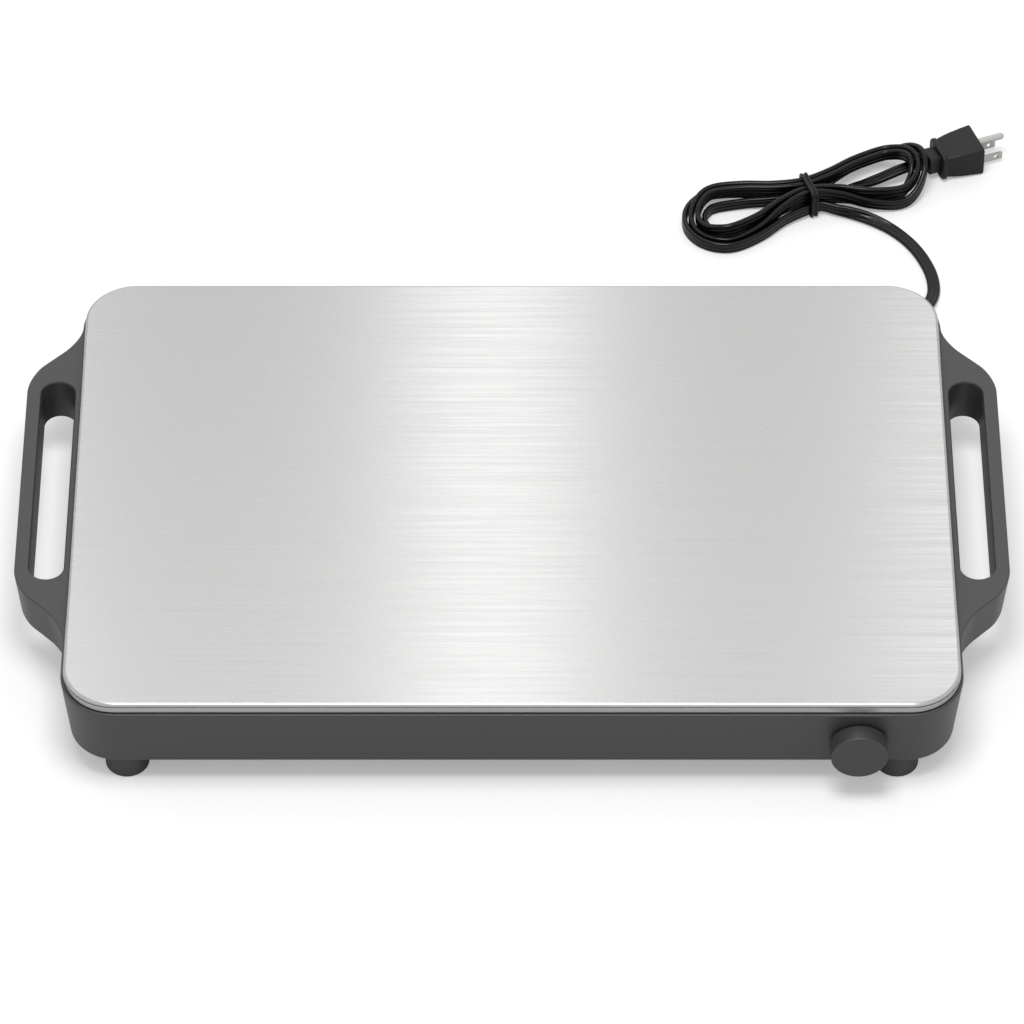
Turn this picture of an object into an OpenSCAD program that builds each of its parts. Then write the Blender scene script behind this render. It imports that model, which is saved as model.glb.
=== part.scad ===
// Electric food warmer tray: a brushed steel warming plate on a moulded housing with two loop
// handles, a front knob for the thermostat, four rubber feet and a mains cord tied in a hank.
// Millimetres, +Z up, front towards -Y, standing on Z = 0.

/* [Top plate] */
// Width of the warming plate, left to right
plate_w = 580; // [540:1:660]
// Depth of the warming plate, front to back
plate_d = 388; // [370:1:440]
// Radius of the plate's corners in plan
plate_corner_r = 34; // [28:1:44]
// Height of the plate's turned-down lip
plate_lip_h = 7; // [6:0.5:10]
// Thickness of the plate's sheet
plate_sheet = 1; // [0.8:0.1:2]
// Radius of the plate's rounded top edge
plate_edge_r = 2.5; // [1.5:0.5:4]

/* [Housing] */
// Height of the housing's wall
housing_h = 49.5; // [48:0.5:60]
// How far the housing's rim stands out past the plate
rim_proud = 2; // [1:0.5:4]
// Thickness of the housing's wall
wall = 3; // [2.5:0.5:4]
// How far the wall leans in between the rim and the bottom edge
wall_lean = 4.8; // [2:0.2:6]
// Radius of the housing's bottom edge
bottom_r = 3.2; // [2:0.2:5]
// Width of the ledge that carries the plate
ledge_w = 11; // [9:0.5:14]
// Thickness of the ledge
ledge_t = 3; // [2:0.5:4]
// Thickness of the silicone seal under the plate's lip
seal_t = 1; // [0.6:0.1:2]
// Thickness of the base cover
base_t = 1.2; // [1:0.1:2]

/* [Handles] */
// How far each handle reaches out from the housing's rim
handle_reach = 35; // [32:0.5:50]
// Depth of the handles below the rim
handle_h = 32; // [20:1:40]
// Length of the straight outer bar
handle_bar_l = 165; // [130:1:180]
// How far the handles sit behind the plate's middle
handle_shift = 16.5; // [0:0.5:18]
// Width of the finger slot
slot_w = 22.8; // [18:0.2:26]
// Length of the finger slot
slot_l = 182.4; // [120:0.2:190]
// Wall between the slot and the housing's rim
slot_rail = 2.4; // [2:0.2:6]

/* [Control] */
// Diameter of the knob at its back
knob_d = 37.8; // [32:0.2:42]
// Diameter of the knob at its front
knob_front_d = 36.4; // [30:0.2:40]
// How far the knob stands out past the rim
knob_proud = 12.3; // [10:0.1:18]
// Distance of the knob's axis from the plate's right end
knob_in = 66.3; // [62:0.1:140]
// Height of the knob's axis below the rim
knob_drop = 27.4; // [24:0.2:32]
// Wall of the knob's skirt
knob_wall = 2; // [1.5:0.1:3]
// Diameter of the thermostat's spindle
spindle_d = 6; // [5:0.5:8]
// Running clearance round the spindle, on the radius
spindle_gap = 0.06; // [0.03:0.01:0.1]
// Width of the thermostat
thermostat_w = 34; // [28:1:40]
// Depth of the thermostat, front to back
thermostat_d = 22; // [18:1:24]
// Height of the thermostat
thermostat_h = 26; // [22:1:28]

/* [Feet] */
// Height of the feet
foot_h = 18.5; // [12:0.5:30]
// Diameter of the feet
foot_d = 28.6; // [22:0.1:30]
// Distance of the feet from the plate's ends
foot_in_x = 39.4; // [38:0.1:60]
// Distance of the feet from the plate's front and back edges
foot_in_y = 19.8; // [19:0.1:40]

/* [Heating] */
// Diameter of the heating element's sheath
element_d = 6.6; // [5:0.2:8]
// Distance between the element's runs
element_pitch = 50; // [44:1:54]
// Distance of the element's bends from the plate's ends, to the bends' centres
element_in = 75; // [70:1:110]
// Thickness of the aluminium heat spreader
spreader_t = 1.5; // [1:0.5:3]
// Thickness of the reflector's sheet
reflector_t = 0.8; // [0.5:0.1:1.2]
// Depth of the reflector's pan
reflector_h = 10; // [8:1:13]
// Thickness of the insulation mat
mat_t = 7; // [5:1:10]

/* [Cord] */
// Width of the flat three-core cord
cord_w = 9; // [7:0.5:10]
// Thickness of the flat cord
cord_t = 3.6; // [3:0.1:4]
// Distance of the cord's exit from the plate's right end
exit_in = 62; // [58:1:100]
// Height of the cord's exit above the housing's bottom edge
exit_up = 11; // [10:0.5:16]
// Half the length of the hank, to the middle of the cord
hank_half_l = 89; // [80:1:100]
// Radius of the hank's left end, to the middle of the cord
hank_left_r = 28; // [24:0.5:30]
// Radius of the hank's right end, to the middle of the cord
hank_right_r = 26; // [22:0.5:28]
// Step between neighbouring loops at both ends
hank_step = 4.7; // [4.4:0.1:5]
// Step between neighbouring strands at the tied waist
hank_waist_step = 4.45; // [4.3:0.05:4.6]
// Thickness of the rubber tie
tie_t = 2.2; // [1.5:0.1:3]
// Width of the rubber tie
tie_w = 5; // [2.5:0.1:6]

/* [Plug] */
// Width of the plug's face
plug_face_w = 30; // [26:0.5:34]
// Height of the plug's face
plug_face_h = 24; // [20:0.5:26]
// Length of the plug's body from its collar to its face
plug_body_l = 27; // [20:0.5:30]
// Length of the boxy neck behind the plug's collar
plug_neck_l = 8; // [6:0.5:12]
// Length of the ringed tail behind the plug's neck
plug_rings_l = 7; // [5:0.5:10]
// Length of the flat blades
blade_l = 17.5; // [15:0.5:18]
// Length of the round earth pin
earth_l = 21; // [19:0.5:22]

/* [Hidden] */
$fn = 48;

// Heights of the layers, from the floor up
base_z = foot_h;
rim_z = base_z + housing_h;
lip_z = rim_z + seal_t;
top_z = lip_z + plate_lip_h;
under_z = top_z - plate_sheet;
spreader_z = under_z - spreader_t;
ledge_z = rim_z - ledge_t;
flange_z = ledge_z - reflector_t;
fit = 0.1;
element_z = spreader_z - fit - element_d / 2;
pan_z = flange_z - reflector_h;

// Outlines in plan
half_w = plate_w / 2 + rim_proud;
half_d = plate_d / 2 + rim_proud;
rim_r = plate_corner_r + rim_proud;
slice = 0.01;
cut = 1;
rim_chamfer = 0.8;
// The wall is a little thicker at the bottom, where the base cover lies inside it
cover_in = wall_lean + wall + 1;

// The origin lies below the middle of the object, whose front is the knob and whose back is
// the rear wall
origin_shift = knob_proud / 2;

function lean_at(z) = wall_lean * (rim_z - z) / housing_h;
function smooth(x) = (1 - cos(180 * min(1, max(0, x)))) / 2;
function unit(v) = v / norm(v);

module placed() { translate([0, origin_shift, 0]) children(); }

// A rectangle with round corners, pulled in all round by inset
module rounded_rect(hw, hd, r, inset = 0) {
    rr = r - inset;
    cx = hw - r;
    cy = hd - r;
    square([2 * cx, 2 * (hd - inset)], center = true);
    square([2 * (hw - inset), 2 * cy], center = true);
    for (sx = [-1, 1], sy = [-1, 1]) translate([sx * cx, sy * cy]) circle(r = rr);
}

module slab(z0, z1, hw, hd, r, inset = 0) {
    translate([0, 0, z0]) linear_extrude(z1 - z0) rounded_rect(hw, hd, r, inset);
}

// A slice of the housing's outer shape
module housing_slice(z, inset) { slab(z, z + slice, half_w, half_d, rim_r, inset); }

module along_y(x, y0, y1, z, d) {
    translate([x, y0, z]) rotate([-90, 0, 0]) cylinder(d = d, h = y1 - y0);
}

module along_x(x0, x1, y, z, d) {
    translate([x0, y, z]) rotate([0, 90, 0]) cylinder(d = d, h = x1 - x0);
}

// ---- Fixings shared by several pieces

foot_x = plate_w / 2 - foot_in_x;
foot_y = plate_d / 2 - foot_in_y;
foot_at = [[-foot_x, -foot_y], [foot_x, -foot_y], [-foot_x, foot_y], [foot_x, foot_y]];
foot_screw_d = 5;
foot_washer_d = 12;
boss_d = 11;
boss_top = pan_z - 2;
screw_bite = 14;

base_screw_d = 4;
base_screw_in = 17;
base_screw_x = [-plate_w * 0.2, plate_w * 0.1];
base_screw_at = [[-half_w + base_screw_in, 0], [half_w - base_screw_in, 0],
    for (x = base_screw_x, s = [-1, 1]) [x, s * (half_d - base_screw_in)]];

stud_d = 4;
stud_in = 20;
stud_hole_d = 4.6;
tab_w = 16;
tab_reach = 9;
nut_d = 8;
nut_h = 3.2;
washer_d = 10;
washer_t = 0.8;
stud_side_x = half_w - stud_in;
stud_side_y = plate_d * 0.18;
stud_end_x = plate_w * 0.26;
stud_end_y = half_d - stud_in;
stud_at = [for (s = [-1, 1], y = [-stud_side_y, stud_side_y]) [s * stud_side_x, y],
    for (s = [-1, 1], x = [-stud_end_x, 0, stud_end_x]) [x, s * stud_end_y]];

knob_x = plate_w / 2 - knob_in;
knob_z = rim_z - knob_drop;
knob_pad_d = 33;
knob_pad_y = -half_d + 0.6;
knob_gap = 0.4;
knob_back_y = knob_pad_y - knob_gap;
knob_front_y = -half_d - knob_proud;
mount_face_y = -half_d + lean_at(knob_z) + wall + 4;
bracket_t = 1.5;
bracket_gap = 0.02;
bush_d = 10;
control_screw_d = 3;
control_screw_x = 12;

exit_x = plate_w / 2 - exit_in;
exit_z = base_z + exit_up;
rear_y = half_d - lean_at(exit_z) + 1;
exit_pad_d = 20;
exit_inner_y = rear_y - wall - 5;
relief_d = 11.6;
exit_bore_d = relief_d + 0.4;

// ---- Sweeps

// Points of one section, set across the path, turned by twist about it
function ring_at(p, dir, twist, shape) =
    let (n = unit(cross([0, 0, 1], dir)), b = cross(dir, n))
    [for (q = shape) p + n * (q[0] * cos(twist) - q[1] * sin(twist))
        + b * (q[0] * sin(twist) + q[1] * cos(twist))];

function direction(pts, i) =
    i == 0 ? unit(pts[1] - pts[0]) :
    i == len(pts) - 1 ? unit(pts[i] - pts[i - 1]) :
    unit(unit(pts[i + 1] - pts[i]) + unit(pts[i] - pts[i - 1]));

// A closed tube through the points, with its own section at each of them
module sweep(pts, shapes, twists, dirs = []) {
    sides = len(shapes[0]);
    last = len(pts) - 1;
    rings = [for (i = [0:last])
        ring_at(pts[i], len(dirs) > i ? dirs[i] : direction(pts, i), twists[i], shapes[i])];
    skin = [for (i = [0:last - 1], k = [0:sides - 1])
        let (a = i * sides + k, b = i * sides + (k + 1) % sides)
        for (f = [[a, b, b + sides], [a, b + sides, a + sides]]) f];
    start_cap = [for (k = [1:sides - 2]) [0, k + 1, k]];
    end_cap = [for (k = [1:sides - 2]) [last * sides, last * sides + k, last * sides + k + 1]];
    polyhedron(points = [for (r = rings) for (p = r) p],
        faces = concat(start_cap, skin, end_cap), convexity = 10);
}

// Sections of a round lead and of the flat cord standing on its edge
function round_section(d, sides) =
    [for (k = [0:sides - 1]) [cos(360 * k / sides), sin(360 * k / sides)] * d / 2];
function flat_section(crown) =
    let (a = cord_t / 2, c = cord_w / 2)
    [[a, -c + crown], [a, c - crown], [0, c], [-a, c - crown], [-a, -c + crown], [0, -c]];
function flat_section_8() =
    let (a = cord_t / 2, c = cord_w / 2, k = cord_t / 4)
    [[a, -c + k], [a, c - k], [k, c], [-k, c], [-a, c - k], [-a, -c + k], [-k, -c], [k, -c]];

module round_lead(pts, d, sides = 8) {
    sweep(pts, [for (p = pts) round_section(d, sides)], [for (p = pts) 0]);
}

// ---- Housing, seal and covers

module top_plate() placed() color("silver") difference() {
    hull() {
        slab(lip_z, lip_z + slice, plate_w / 2, plate_d / 2, plate_corner_r);
        for (a = [0:22.5:90])
            slab(top_z - plate_edge_r * (1 - sin(a)) - slice, top_z - plate_edge_r * (1 - sin(a)),
                plate_w / 2, plate_d / 2, plate_corner_r, plate_edge_r * (1 - cos(a)));
    }
    slab(lip_z - cut, under_z, plate_w / 2, plate_d / 2, plate_corner_r, plate_sheet);
}

module rim_seal() placed() color("black") difference() {
    slab(rim_z, lip_z, half_w, half_d, rim_r, rim_proud + plate_sheet / 4);
    slab(rim_z - cut, lip_z + cut, half_w, half_d, rim_r, ledge_w - 2);
}

// Half of a handle's outline, from the middle of its bar to where it meets the housing
shoulder_r = 36;
root_r = 42;
shoulder_x = half_w + handle_reach - shoulder_r;
bar_end = handle_bar_l / 2;
shoulder_end = [shoulder_x + shoulder_r * cos(45), bar_end + shoulder_r * sin(45)];
root_x = half_w + root_r;
root_start_x = root_x - root_r * cos(45);
root_y = shoulder_end[1] + (shoulder_end[0] - root_start_x) + root_r * sin(45);
half_outline = concat(
    [for (a = [0:5:45]) [shoulder_x + shoulder_r * cos(a), bar_end + shoulder_r * sin(a)]],
    [for (a = [45:-5:0]) [root_x - root_r * cos(a), root_y - root_r * sin(a)]]);

module handle_outline() {
    n = len(half_outline);
    inside = half_w - wall - 1;
    polygon(concat([[inside, root_y]], [for (i = [n - 1:-1:0]) half_outline[i]],
        [for (p = half_outline) [p[0], -p[1]]], [[inside, -root_y]]));
}

module slot_outline() {
    x = half_w + slot_rail + slot_w / 2;
    run = slot_l - slot_w;
    translate([x, 0]) square([slot_w, run], center = true);
    for (s = [-1, 1]) translate([x, s * run / 2]) circle(d = slot_w);
}

module handle(side) {
    translate([0, handle_shift, rim_z - handle_h]) linear_extrude(handle_h)
        mirror([side < 0 ? 1 : 0, 0]) handle_outline();
}

module housing() placed() color("dimgray") difference() {
    union() {
        difference() {
            union() {
                hull() {
                    for (a = [0:30:90])
                        housing_slice(base_z + bottom_r * (1 - cos(a)),
                            wall_lean + bottom_r * (1 - sin(a)));
                    housing_slice(rim_z - rim_chamfer - slice, 0);
                    housing_slice(rim_z - slice, rim_chamfer);
                }
                for (s = [-1, 1]) handle(s);
            }
            hull() {
                housing_slice(base_z - slice, cover_in);
                housing_slice(ledge_z - slice, wall);
            }
            slab(ledge_z - cut, rim_z + cut, half_w, half_d, rim_r, ledge_w);
        }
        stud_tabs();
        corner_bosses();
        base_bosses();
        along_y(knob_x, knob_pad_y, mount_face_y, knob_z, knob_pad_d);
        along_y(exit_x, exit_inner_y, rear_y, exit_z, exit_pad_d);
    }
    for (s = [-1, 1])
        translate([0, handle_shift, rim_z - handle_h - cut]) linear_extrude(handle_h + 2 * cut)
            mirror([s < 0 ? 1 : 0, 0]) slot_outline();
    for (p = stud_at) translate([p[0], p[1], ledge_z - cut])
        cylinder(d = stud_hole_d, h = ledge_t + 2 * cut);
    for (p = foot_at) translate([p[0], p[1], base_z])
        cylinder(d = foot_screw_d, h = base_t + screw_bite + 2);
    for (p = base_screw_at) translate([p[0], p[1], base_z])
        cylinder(d = base_screw_d, h = base_t + screw_bite);
    along_y(knob_x, knob_pad_y - cut, mount_face_y + cut, knob_z, bush_d + 0.4);
    for (s = [-1, 1])
        along_y(knob_x + s * control_screw_x, knob_pad_y - cut, mount_face_y + cut, knob_z,
            control_screw_d + 0.4);
    along_y(exit_x, exit_inner_y - cut, rear_y + cut, exit_z, exit_bore_d);
}

// Tabs on the ledge, one at each stud of the plate
module stud_tabs() {
    for (p = stud_at) {
        on_side = abs(p[0]) > abs(p[1]) * half_w / half_d;
        far = on_side ? half_w - wall : half_d - wall;
        near = (on_side ? stud_side_x : stud_end_y) - tab_reach;
        sgn = on_side ? sign(p[0]) : sign(p[1]);
        l = far - near;
        c = sgn * (near + l / 2);
        translate(on_side ? [c, p[1], ledge_z + ledge_t / 2] : [p[0], c, ledge_z + ledge_t / 2])
            cube(on_side ? [l, tab_w, ledge_t] : [tab_w, l, ledge_t], center = true);
    }
}

// A boss above each foot, tied to the side wall and the end wall by ribs
module corner_bosses() {
    rib_t = 3;
    rib_z = base_z + base_t;
    for (p = foot_at) {
        reach_y = half_d - wall_lean - wall / 2 - abs(p[1]);
        reach_x = half_w - wall_lean - wall / 2 - abs(p[0]);
        translate([p[0], p[1], rib_z]) cylinder(d = boss_d, h = boss_top - rib_z);
        translate([p[0] - rib_t / 2, p[1] > 0 ? p[1] : p[1] - reach_y, rib_z])
            cube([rib_t, reach_y, boss_top - rib_z - 4]);
        translate([p[0] > 0 ? p[0] : p[0] - reach_x, p[1] - rib_t / 2, rib_z])
            cube([reach_x, rib_t, boss_top - rib_z - 4]);
    }
}

// A lower boss for each base screw, tied to its wall by one rib
module base_bosses() {
    rib_t = 3;
    z = base_z + base_t;
    h = screw_bite + 4;
    for (p = base_screw_at) {
        on_side = abs(p[0]) > half_w / 2;
        reach = base_screw_in - wall_lean - wall / 2;
        translate([p[0], p[1], z]) cylinder(d = boss_d - 2, h = h);
        if (on_side)
            translate([p[0] > 0 ? p[0] : p[0] - reach, p[1] - rib_t / 2, z]) cube([reach, rib_t, h]);
        else
            translate([p[0] - rib_t / 2, p[1] > 0 ? p[1] : p[1] - reach, z]) cube([rib_t, reach, h]);
    }
}

module base_cover() placed() color("gray") difference() {
    slab(base_z, base_z + base_t, half_w, half_d, rim_r, cover_in + 0.2);
    for (p = foot_at) translate([p[0], p[1], base_z - cut])
        cylinder(d = foot_screw_d + 0.6, h = base_t + 2 * cut);
    for (p = base_screw_at) translate([p[0], p[1], base_z - cut])
        cylinder(d = base_screw_d + 0.6, h = base_t + 2 * cut);
    for (s = [-1, 1], i = [-5:5])
        translate([s * plate_w * 0.22 + i * 12, 0, base_z + base_t / 2])
            cube([4, 60, base_t + 2 * cut], center = true);
}

// ---- Plate, element and reflector

flange_in = wall + 5;
pan_in = 36;
pan_hw = half_w - pan_in;
pan_hd = half_d - pan_in;
pan_r = 12;
fuse_y = -plate_d * 0.12;
notch_mid_y = fuse_y + 17;

element_half_l = plate_w / 2 - element_in;
end_l = 28;
bead_x = element_half_l + end_l;
spreader_hw = bead_x - 1;
spreader_hd = pan_hd - 4;

module heat_spreader() placed() color("lightgray")
    slab(spreader_z, under_z, spreader_hw, spreader_hd, 20);

element_rows = 6;
row_y = [for (i = [0:element_rows - 1]) (i - (element_rows - 1) / 2) * element_pitch];

module u_bend(x, y, side) {
    translate([x, y, element_z]) rotate([0, 0, side > 0 ? -90 : 90])
        rotate_extrude(angle = 180) translate([element_pitch / 2, 0]) circle(d = element_d);
}

module heating_element() placed() color("darkgray") union() {
    for (i = [0:element_rows - 1])
        along_x(-element_half_l, element_half_l
            + (i == 0 || i == element_rows - 1 ? end_l : 0), row_y[i], element_z, element_d);
    for (i = [0:2:element_rows - 2])
        u_bend(-element_half_l, row_y[i] + element_pitch / 2, -1);
    for (i = [1:2:element_rows - 3])
        u_bend(element_half_l, row_y[i] + element_pitch / 2, 1);
}

bead_l = 7;
pin_d = 2.8;
pin_l = 12;
element_end_y = [row_y[0], row_y[element_rows - 1]];

module element_beads() placed() color("ivory") for (y = element_end_y) difference() {
    along_x(bead_x, bead_x + bead_l, y, element_z, element_d + 1.6);
    along_x(bead_x - cut, bead_x + bead_l + cut, y, element_z, pin_d);
}

module element_pins() placed() color("silver") for (y = element_end_y)
    along_x(bead_x, bead_x + bead_l + pin_l, y, element_z, pin_d);

bar_x = [-stud_end_x, 0, stud_end_x];
bar_w = 12;
bar_t = 1.5;
bar_half_l = 3 * element_pitch;
bar_z = element_z - element_d / 2 - fit - bar_t;
clamp_screw_y = [-2 * element_pitch, 0, 2 * element_pitch];
clamp_screw_d = 4;

module clamp_bars() placed() color("gray") difference() {
    for (x = bar_x) translate([x - bar_w / 2, -bar_half_l, bar_z])
        cube([bar_w, 2 * bar_half_l, bar_t]);
    for (x = bar_x, y = clamp_screw_y) translate([x, y, bar_z - cut])
        cylinder(d = clamp_screw_d + 0.4, h = bar_t + 2 * cut);
}

module clamp_screws() placed() color("silver") for (x = bar_x, y = clamp_screw_y)
    translate([x, y, bar_z - 2]) {
        cylinder(d = 7.5, h = 2);
        cylinder(d = clamp_screw_d, h = spreader_z - bar_z + 2);
    }

module plate_studs() placed() color("silver") for (p = stud_at)
    translate([p[0], p[1], flange_z - washer_t - nut_h - 2])
        cylinder(d = stud_d, h = under_z - (flange_z - washer_t - nut_h - 2));

module plate_nuts() placed() color("gray") for (p = stud_at)
    translate([p[0], p[1], flange_z - washer_t - nut_h]) difference() {
        union() {
            translate([0, 0, nut_h]) cylinder(d = washer_d, h = washer_t);
            cylinder(d = nut_d, h = nut_h, $fn = 6);
        }
        translate([0, 0, -cut]) cylinder(d = stud_d, h = nut_h + washer_t + 2 * cut);
    }

notch_x = [stud_side_x - 6, stud_side_x + 4];
notch_y = [row_y[0], notch_mid_y, row_y[element_rows - 1]];

module reflector_pan() placed() color("lightsteelblue") difference() {
    union() {
        slab(flange_z, ledge_z, half_w, half_d, rim_r, flange_in);
        slab(pan_z - reflector_t, ledge_z, pan_hw + reflector_t, pan_hd + reflector_t,
            pan_r + reflector_t);
    }
    slab(pan_z, ledge_z + cut, pan_hw, pan_hd, pan_r);
    for (p = stud_at) translate([p[0], p[1], flange_z - cut])
        cylinder(d = stud_hole_d, h = reflector_t + 2 * cut);
    for (y = notch_y) translate([notch_x[0], y - 7, flange_z - cut])
        cube([notch_x[1] - notch_x[0], 14, reflector_t + 2 * cut]);
    translate([earth_at[0], earth_at[1], flange_z - cut])
        cylinder(d = 4, h = reflector_t + 2 * cut);
}

module insulation_mat() placed() color("beige")
    slab(pan_z - reflector_t - mat_t, pan_z - reflector_t, half_w - pan_in - 4,
        half_d - pan_in - 4, 10);

// ---- Knob and thermostat

hub_d = 13;
hub_depth = 9;
clip_t = 0.8;

module knob_profile() {
    r0 = knob_d / 2;
    r1 = knob_front_d / 2;
    l = knob_back_y - knob_front_y;
    polygon([[0, 0], [r1 - 0.8, 0], [r1, 0.8], [r0, l], [r0 - knob_wall, l],
        [r1 - knob_wall, knob_wall + 1], [0, knob_wall + 1]]);
}

module control_knob() placed() color("dimgray") translate([knob_x, knob_front_y, knob_z])
    rotate([-90, 0, 0]) difference() {
        union() {
            rotate_extrude($fn = 96) knob_profile();
            cylinder(d = hub_d, h = knob_back_y - knob_front_y);
        }
        translate([0, 0, knob_wall + 1]) cylinder(d = spindle_d + 2 * clip_t, h = 40);
    }

spindle_front_y = knob_front_y + knob_wall + 1;
spindle_back_y = mount_face_y + bracket_t + 12;

module thermostat_spindle() placed() color("silver") difference() {
    along_y(knob_x, spindle_front_y, spindle_back_y, knob_z, spindle_d);
    translate([knob_x - spindle_d, spindle_front_y - cut, knob_z + spindle_d / 4])
        cube([2 * spindle_d, hub_depth, spindle_d]);
}

// A split spring sleeve between the spindle and the knob's hub
module knob_spring_clip() placed() color("silver") translate([knob_x, spindle_front_y, knob_z])
    rotate([-90, 0, 0]) difference() {
        cylinder(d = spindle_d + 2 * clip_t, h = hub_depth - 2);
        translate([0, 0, -cut]) cylinder(d = spindle_d, h = hub_depth);
        translate([-1, 0, -cut]) cube([2, spindle_d, hub_depth]);
    }

bush_front_y = mount_face_y - wall - 3;

module thermostat_bush() placed() color("goldenrod") difference() {
    along_y(knob_x, bush_front_y, mount_face_y + bracket_t, knob_z, bush_d);
    along_y(knob_x, bush_front_y - cut, mount_face_y + bracket_t + cut, knob_z,
        spindle_d + 2 * spindle_gap);
}

module thermostat_bracket() placed() color("gray") difference() {
    translate([knob_x - thermostat_w / 2, mount_face_y, knob_z - thermostat_h / 2])
        cube([thermostat_w, bracket_t, thermostat_h]);
    along_y(knob_x, mount_face_y - cut, mount_face_y + bracket_t + cut, knob_z, bush_d);
    for (s = [-1, 1])
        along_y(knob_x + s * control_screw_x, mount_face_y - cut, mount_face_y + bracket_t + cut,
            knob_z, control_screw_d);
}

thermostat_y = mount_face_y + bracket_t;
tag_t = 0.8;
tag_l = 8;
tag_x = [knob_x - thermostat_w / 4, knob_x + thermostat_w / 4];

module thermostat_body() placed() color("saddlebrown") difference() {
    union() {
        translate([knob_x - thermostat_w / 2, thermostat_y, knob_z - thermostat_h / 2])
            cube([thermostat_w, thermostat_d, thermostat_h]);
        for (x = tag_x)
            translate([x - 3, thermostat_y + thermostat_d, knob_z - tag_t / 2])
                cube([6, tag_l, tag_t]);
    }
    along_y(knob_x, thermostat_y - cut, spindle_back_y + 1, knob_z, spindle_d + 3);
    for (s = [-1, 1])
        along_y(knob_x + s * control_screw_x, thermostat_y - cut, thermostat_y + 8, knob_z,
            control_screw_d);
}

module thermostat_screws() placed() color("silver") for (s = [-1, 1]) {
    x = knob_x + s * control_screw_x;
    along_y(x, knob_pad_y - 1, knob_pad_y, knob_z, 5.6);
    along_y(x, knob_pad_y, thermostat_y + 7, knob_z, control_screw_d);
}

// ---- Wiring

fuse_d = 4.5;
fuse_l = 14;
fuse_x = stud_side_x - 11;
fuse_z = ledge_z + fuse_d / 2 + 0.6;

module thermal_fuse() placed() color("silver")
    along_y(fuse_x, fuse_y - fuse_l / 2, fuse_y + fuse_l / 2, fuse_z, fuse_d);

module fuse_clip() placed() color("gray") difference() {
    translate([fuse_x - fuse_d / 2 - 0.8, fuse_y - 3, ledge_z])
        cube([fuse_d + 1.6, 6, fuse_d + 1.4]);
    along_y(fuse_x, fuse_y - 4, fuse_y + 4, fuse_z, fuse_d);
}

block_w = 36;
block_d = 20;
block_h = 14;
block_at = [plate_w / 2 - 78, plate_d / 2 - 76];
block_top = base_z + base_t + block_h;
way_x = [for (i = [-1:1]) block_at[0] + i * 11];

module terminal_block() placed() color("white") difference() {
    translate([block_at[0] - block_w / 2, block_at[1] - block_d / 2, base_z + base_t])
        cube([block_w, block_d, block_h]);
    for (x = way_x) {
        along_y(x, block_at[1] - block_d, block_at[1] + block_d, block_top - 8, 4);
        translate([x, block_at[1], block_top - 5]) cylinder(d = 4, h = 10);
    }
}

module terminal_screws() placed() color("silver") for (x = way_x)
    translate([x, block_at[1], block_top - 4.5]) cylinder(d = 4, h = 4);

lead_d = 2.4;
pin_end_x = bead_x + bead_l + pin_l;
lead_top = element_z;
way_z = block_top - 8;
tag_y = thermostat_y + thermostat_d + tag_l;
earth_at = [stud_side_x - 2, stud_side_y + 26];

module fuse_lead() placed() color("silver")
    round_lead([[pin_end_x, row_y[0], lead_top], [pin_end_x + 2, row_y[0], lead_top],
        [pin_end_x + 3, row_y[0] + 5, lead_top], [fuse_x + 1, row_y[0] + 24, lead_top],
        [fuse_x, fuse_y - fuse_l / 2 - 6, fuse_z], [fuse_x, fuse_y - fuse_l / 2 - 2, fuse_z],
        [fuse_x, fuse_y - fuse_l / 2, fuse_z]], 1.4);

module switched_lead() placed() color("firebrick")
    round_lead([[fuse_x, fuse_y + fuse_l / 2, fuse_z], [fuse_x, fuse_y + fuse_l / 2 + 2, fuse_z],
        [fuse_x + 3, notch_mid_y - 3, fuse_z], [stud_side_x - 3, notch_mid_y, ledge_z + 1],
        [stud_side_x - 1, notch_mid_y, flange_z - 4], [stud_side_x - 1, notch_mid_y - 4, pan_z],
        [stud_side_x - 6, notch_mid_y - 30, base_z + 18], [tag_x[1] + 16, tag_y + 43, base_z + 14],
        [tag_x[1] + 3, tag_y + 14, knob_z - 3], [tag_x[1], tag_y + 6, knob_z],
        [tag_x[1], tag_y, knob_z]], lead_d);

module live_lead() placed() color("firebrick")
    round_lead([[way_x[0], block_at[1] - 4, way_z], [way_x[0], block_at[1] - 20, way_z],
        [way_x[0] - 4, block_at[1] - 58, base_z + 10], [way_x[0] - 2, tag_y + 120, base_z + 8],
        [tag_x[0] - 6, tag_y + 53, base_z + 14], [tag_x[0] - 2, tag_y + 14, knob_z - 3],
        [tag_x[0], tag_y + 6, knob_z], [tag_x[0], tag_y, knob_z]], lead_d);

module neutral_lead() placed() color("white")
    round_lead([[pin_end_x, row_y[5], lead_top], [pin_end_x + 2, row_y[5], lead_top],
        [stud_side_x - 3, row_y[5] + 1, ledge_z + 2], [stud_side_x - 0.5, row_y[5] + 1, flange_z - 4],
        [stud_side_x - 1, row_y[5] - 2, pan_z], [stud_side_x - 10, row_y[5] - 14, way_z + 6],
        [way_x[2] + 18, block_at[1] - 22, way_z], [way_x[2] + 3, block_at[1] - 20, way_z],
        [way_x[2], block_at[1] - 12, way_z], [way_x[2], block_at[1] - 4, way_z]], lead_d);

module earth_lead() placed() color("green")
    round_lead([[earth_at[0] - 2, earth_at[1], flange_z - 4.2 - lead_d / 2],
        [earth_at[0] - 10, earth_at[1] - 2, flange_z - 8],
        [stud_side_x - 18, earth_at[1] - 8, way_z + 5], [way_x[1] + 16, block_at[1] - 36, way_z],
        [way_x[1] + 2, block_at[1] - 28, way_z], [way_x[1], block_at[1] - 18, way_z],
        [way_x[1], block_at[1] - 4, way_z]], lead_d);

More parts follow.
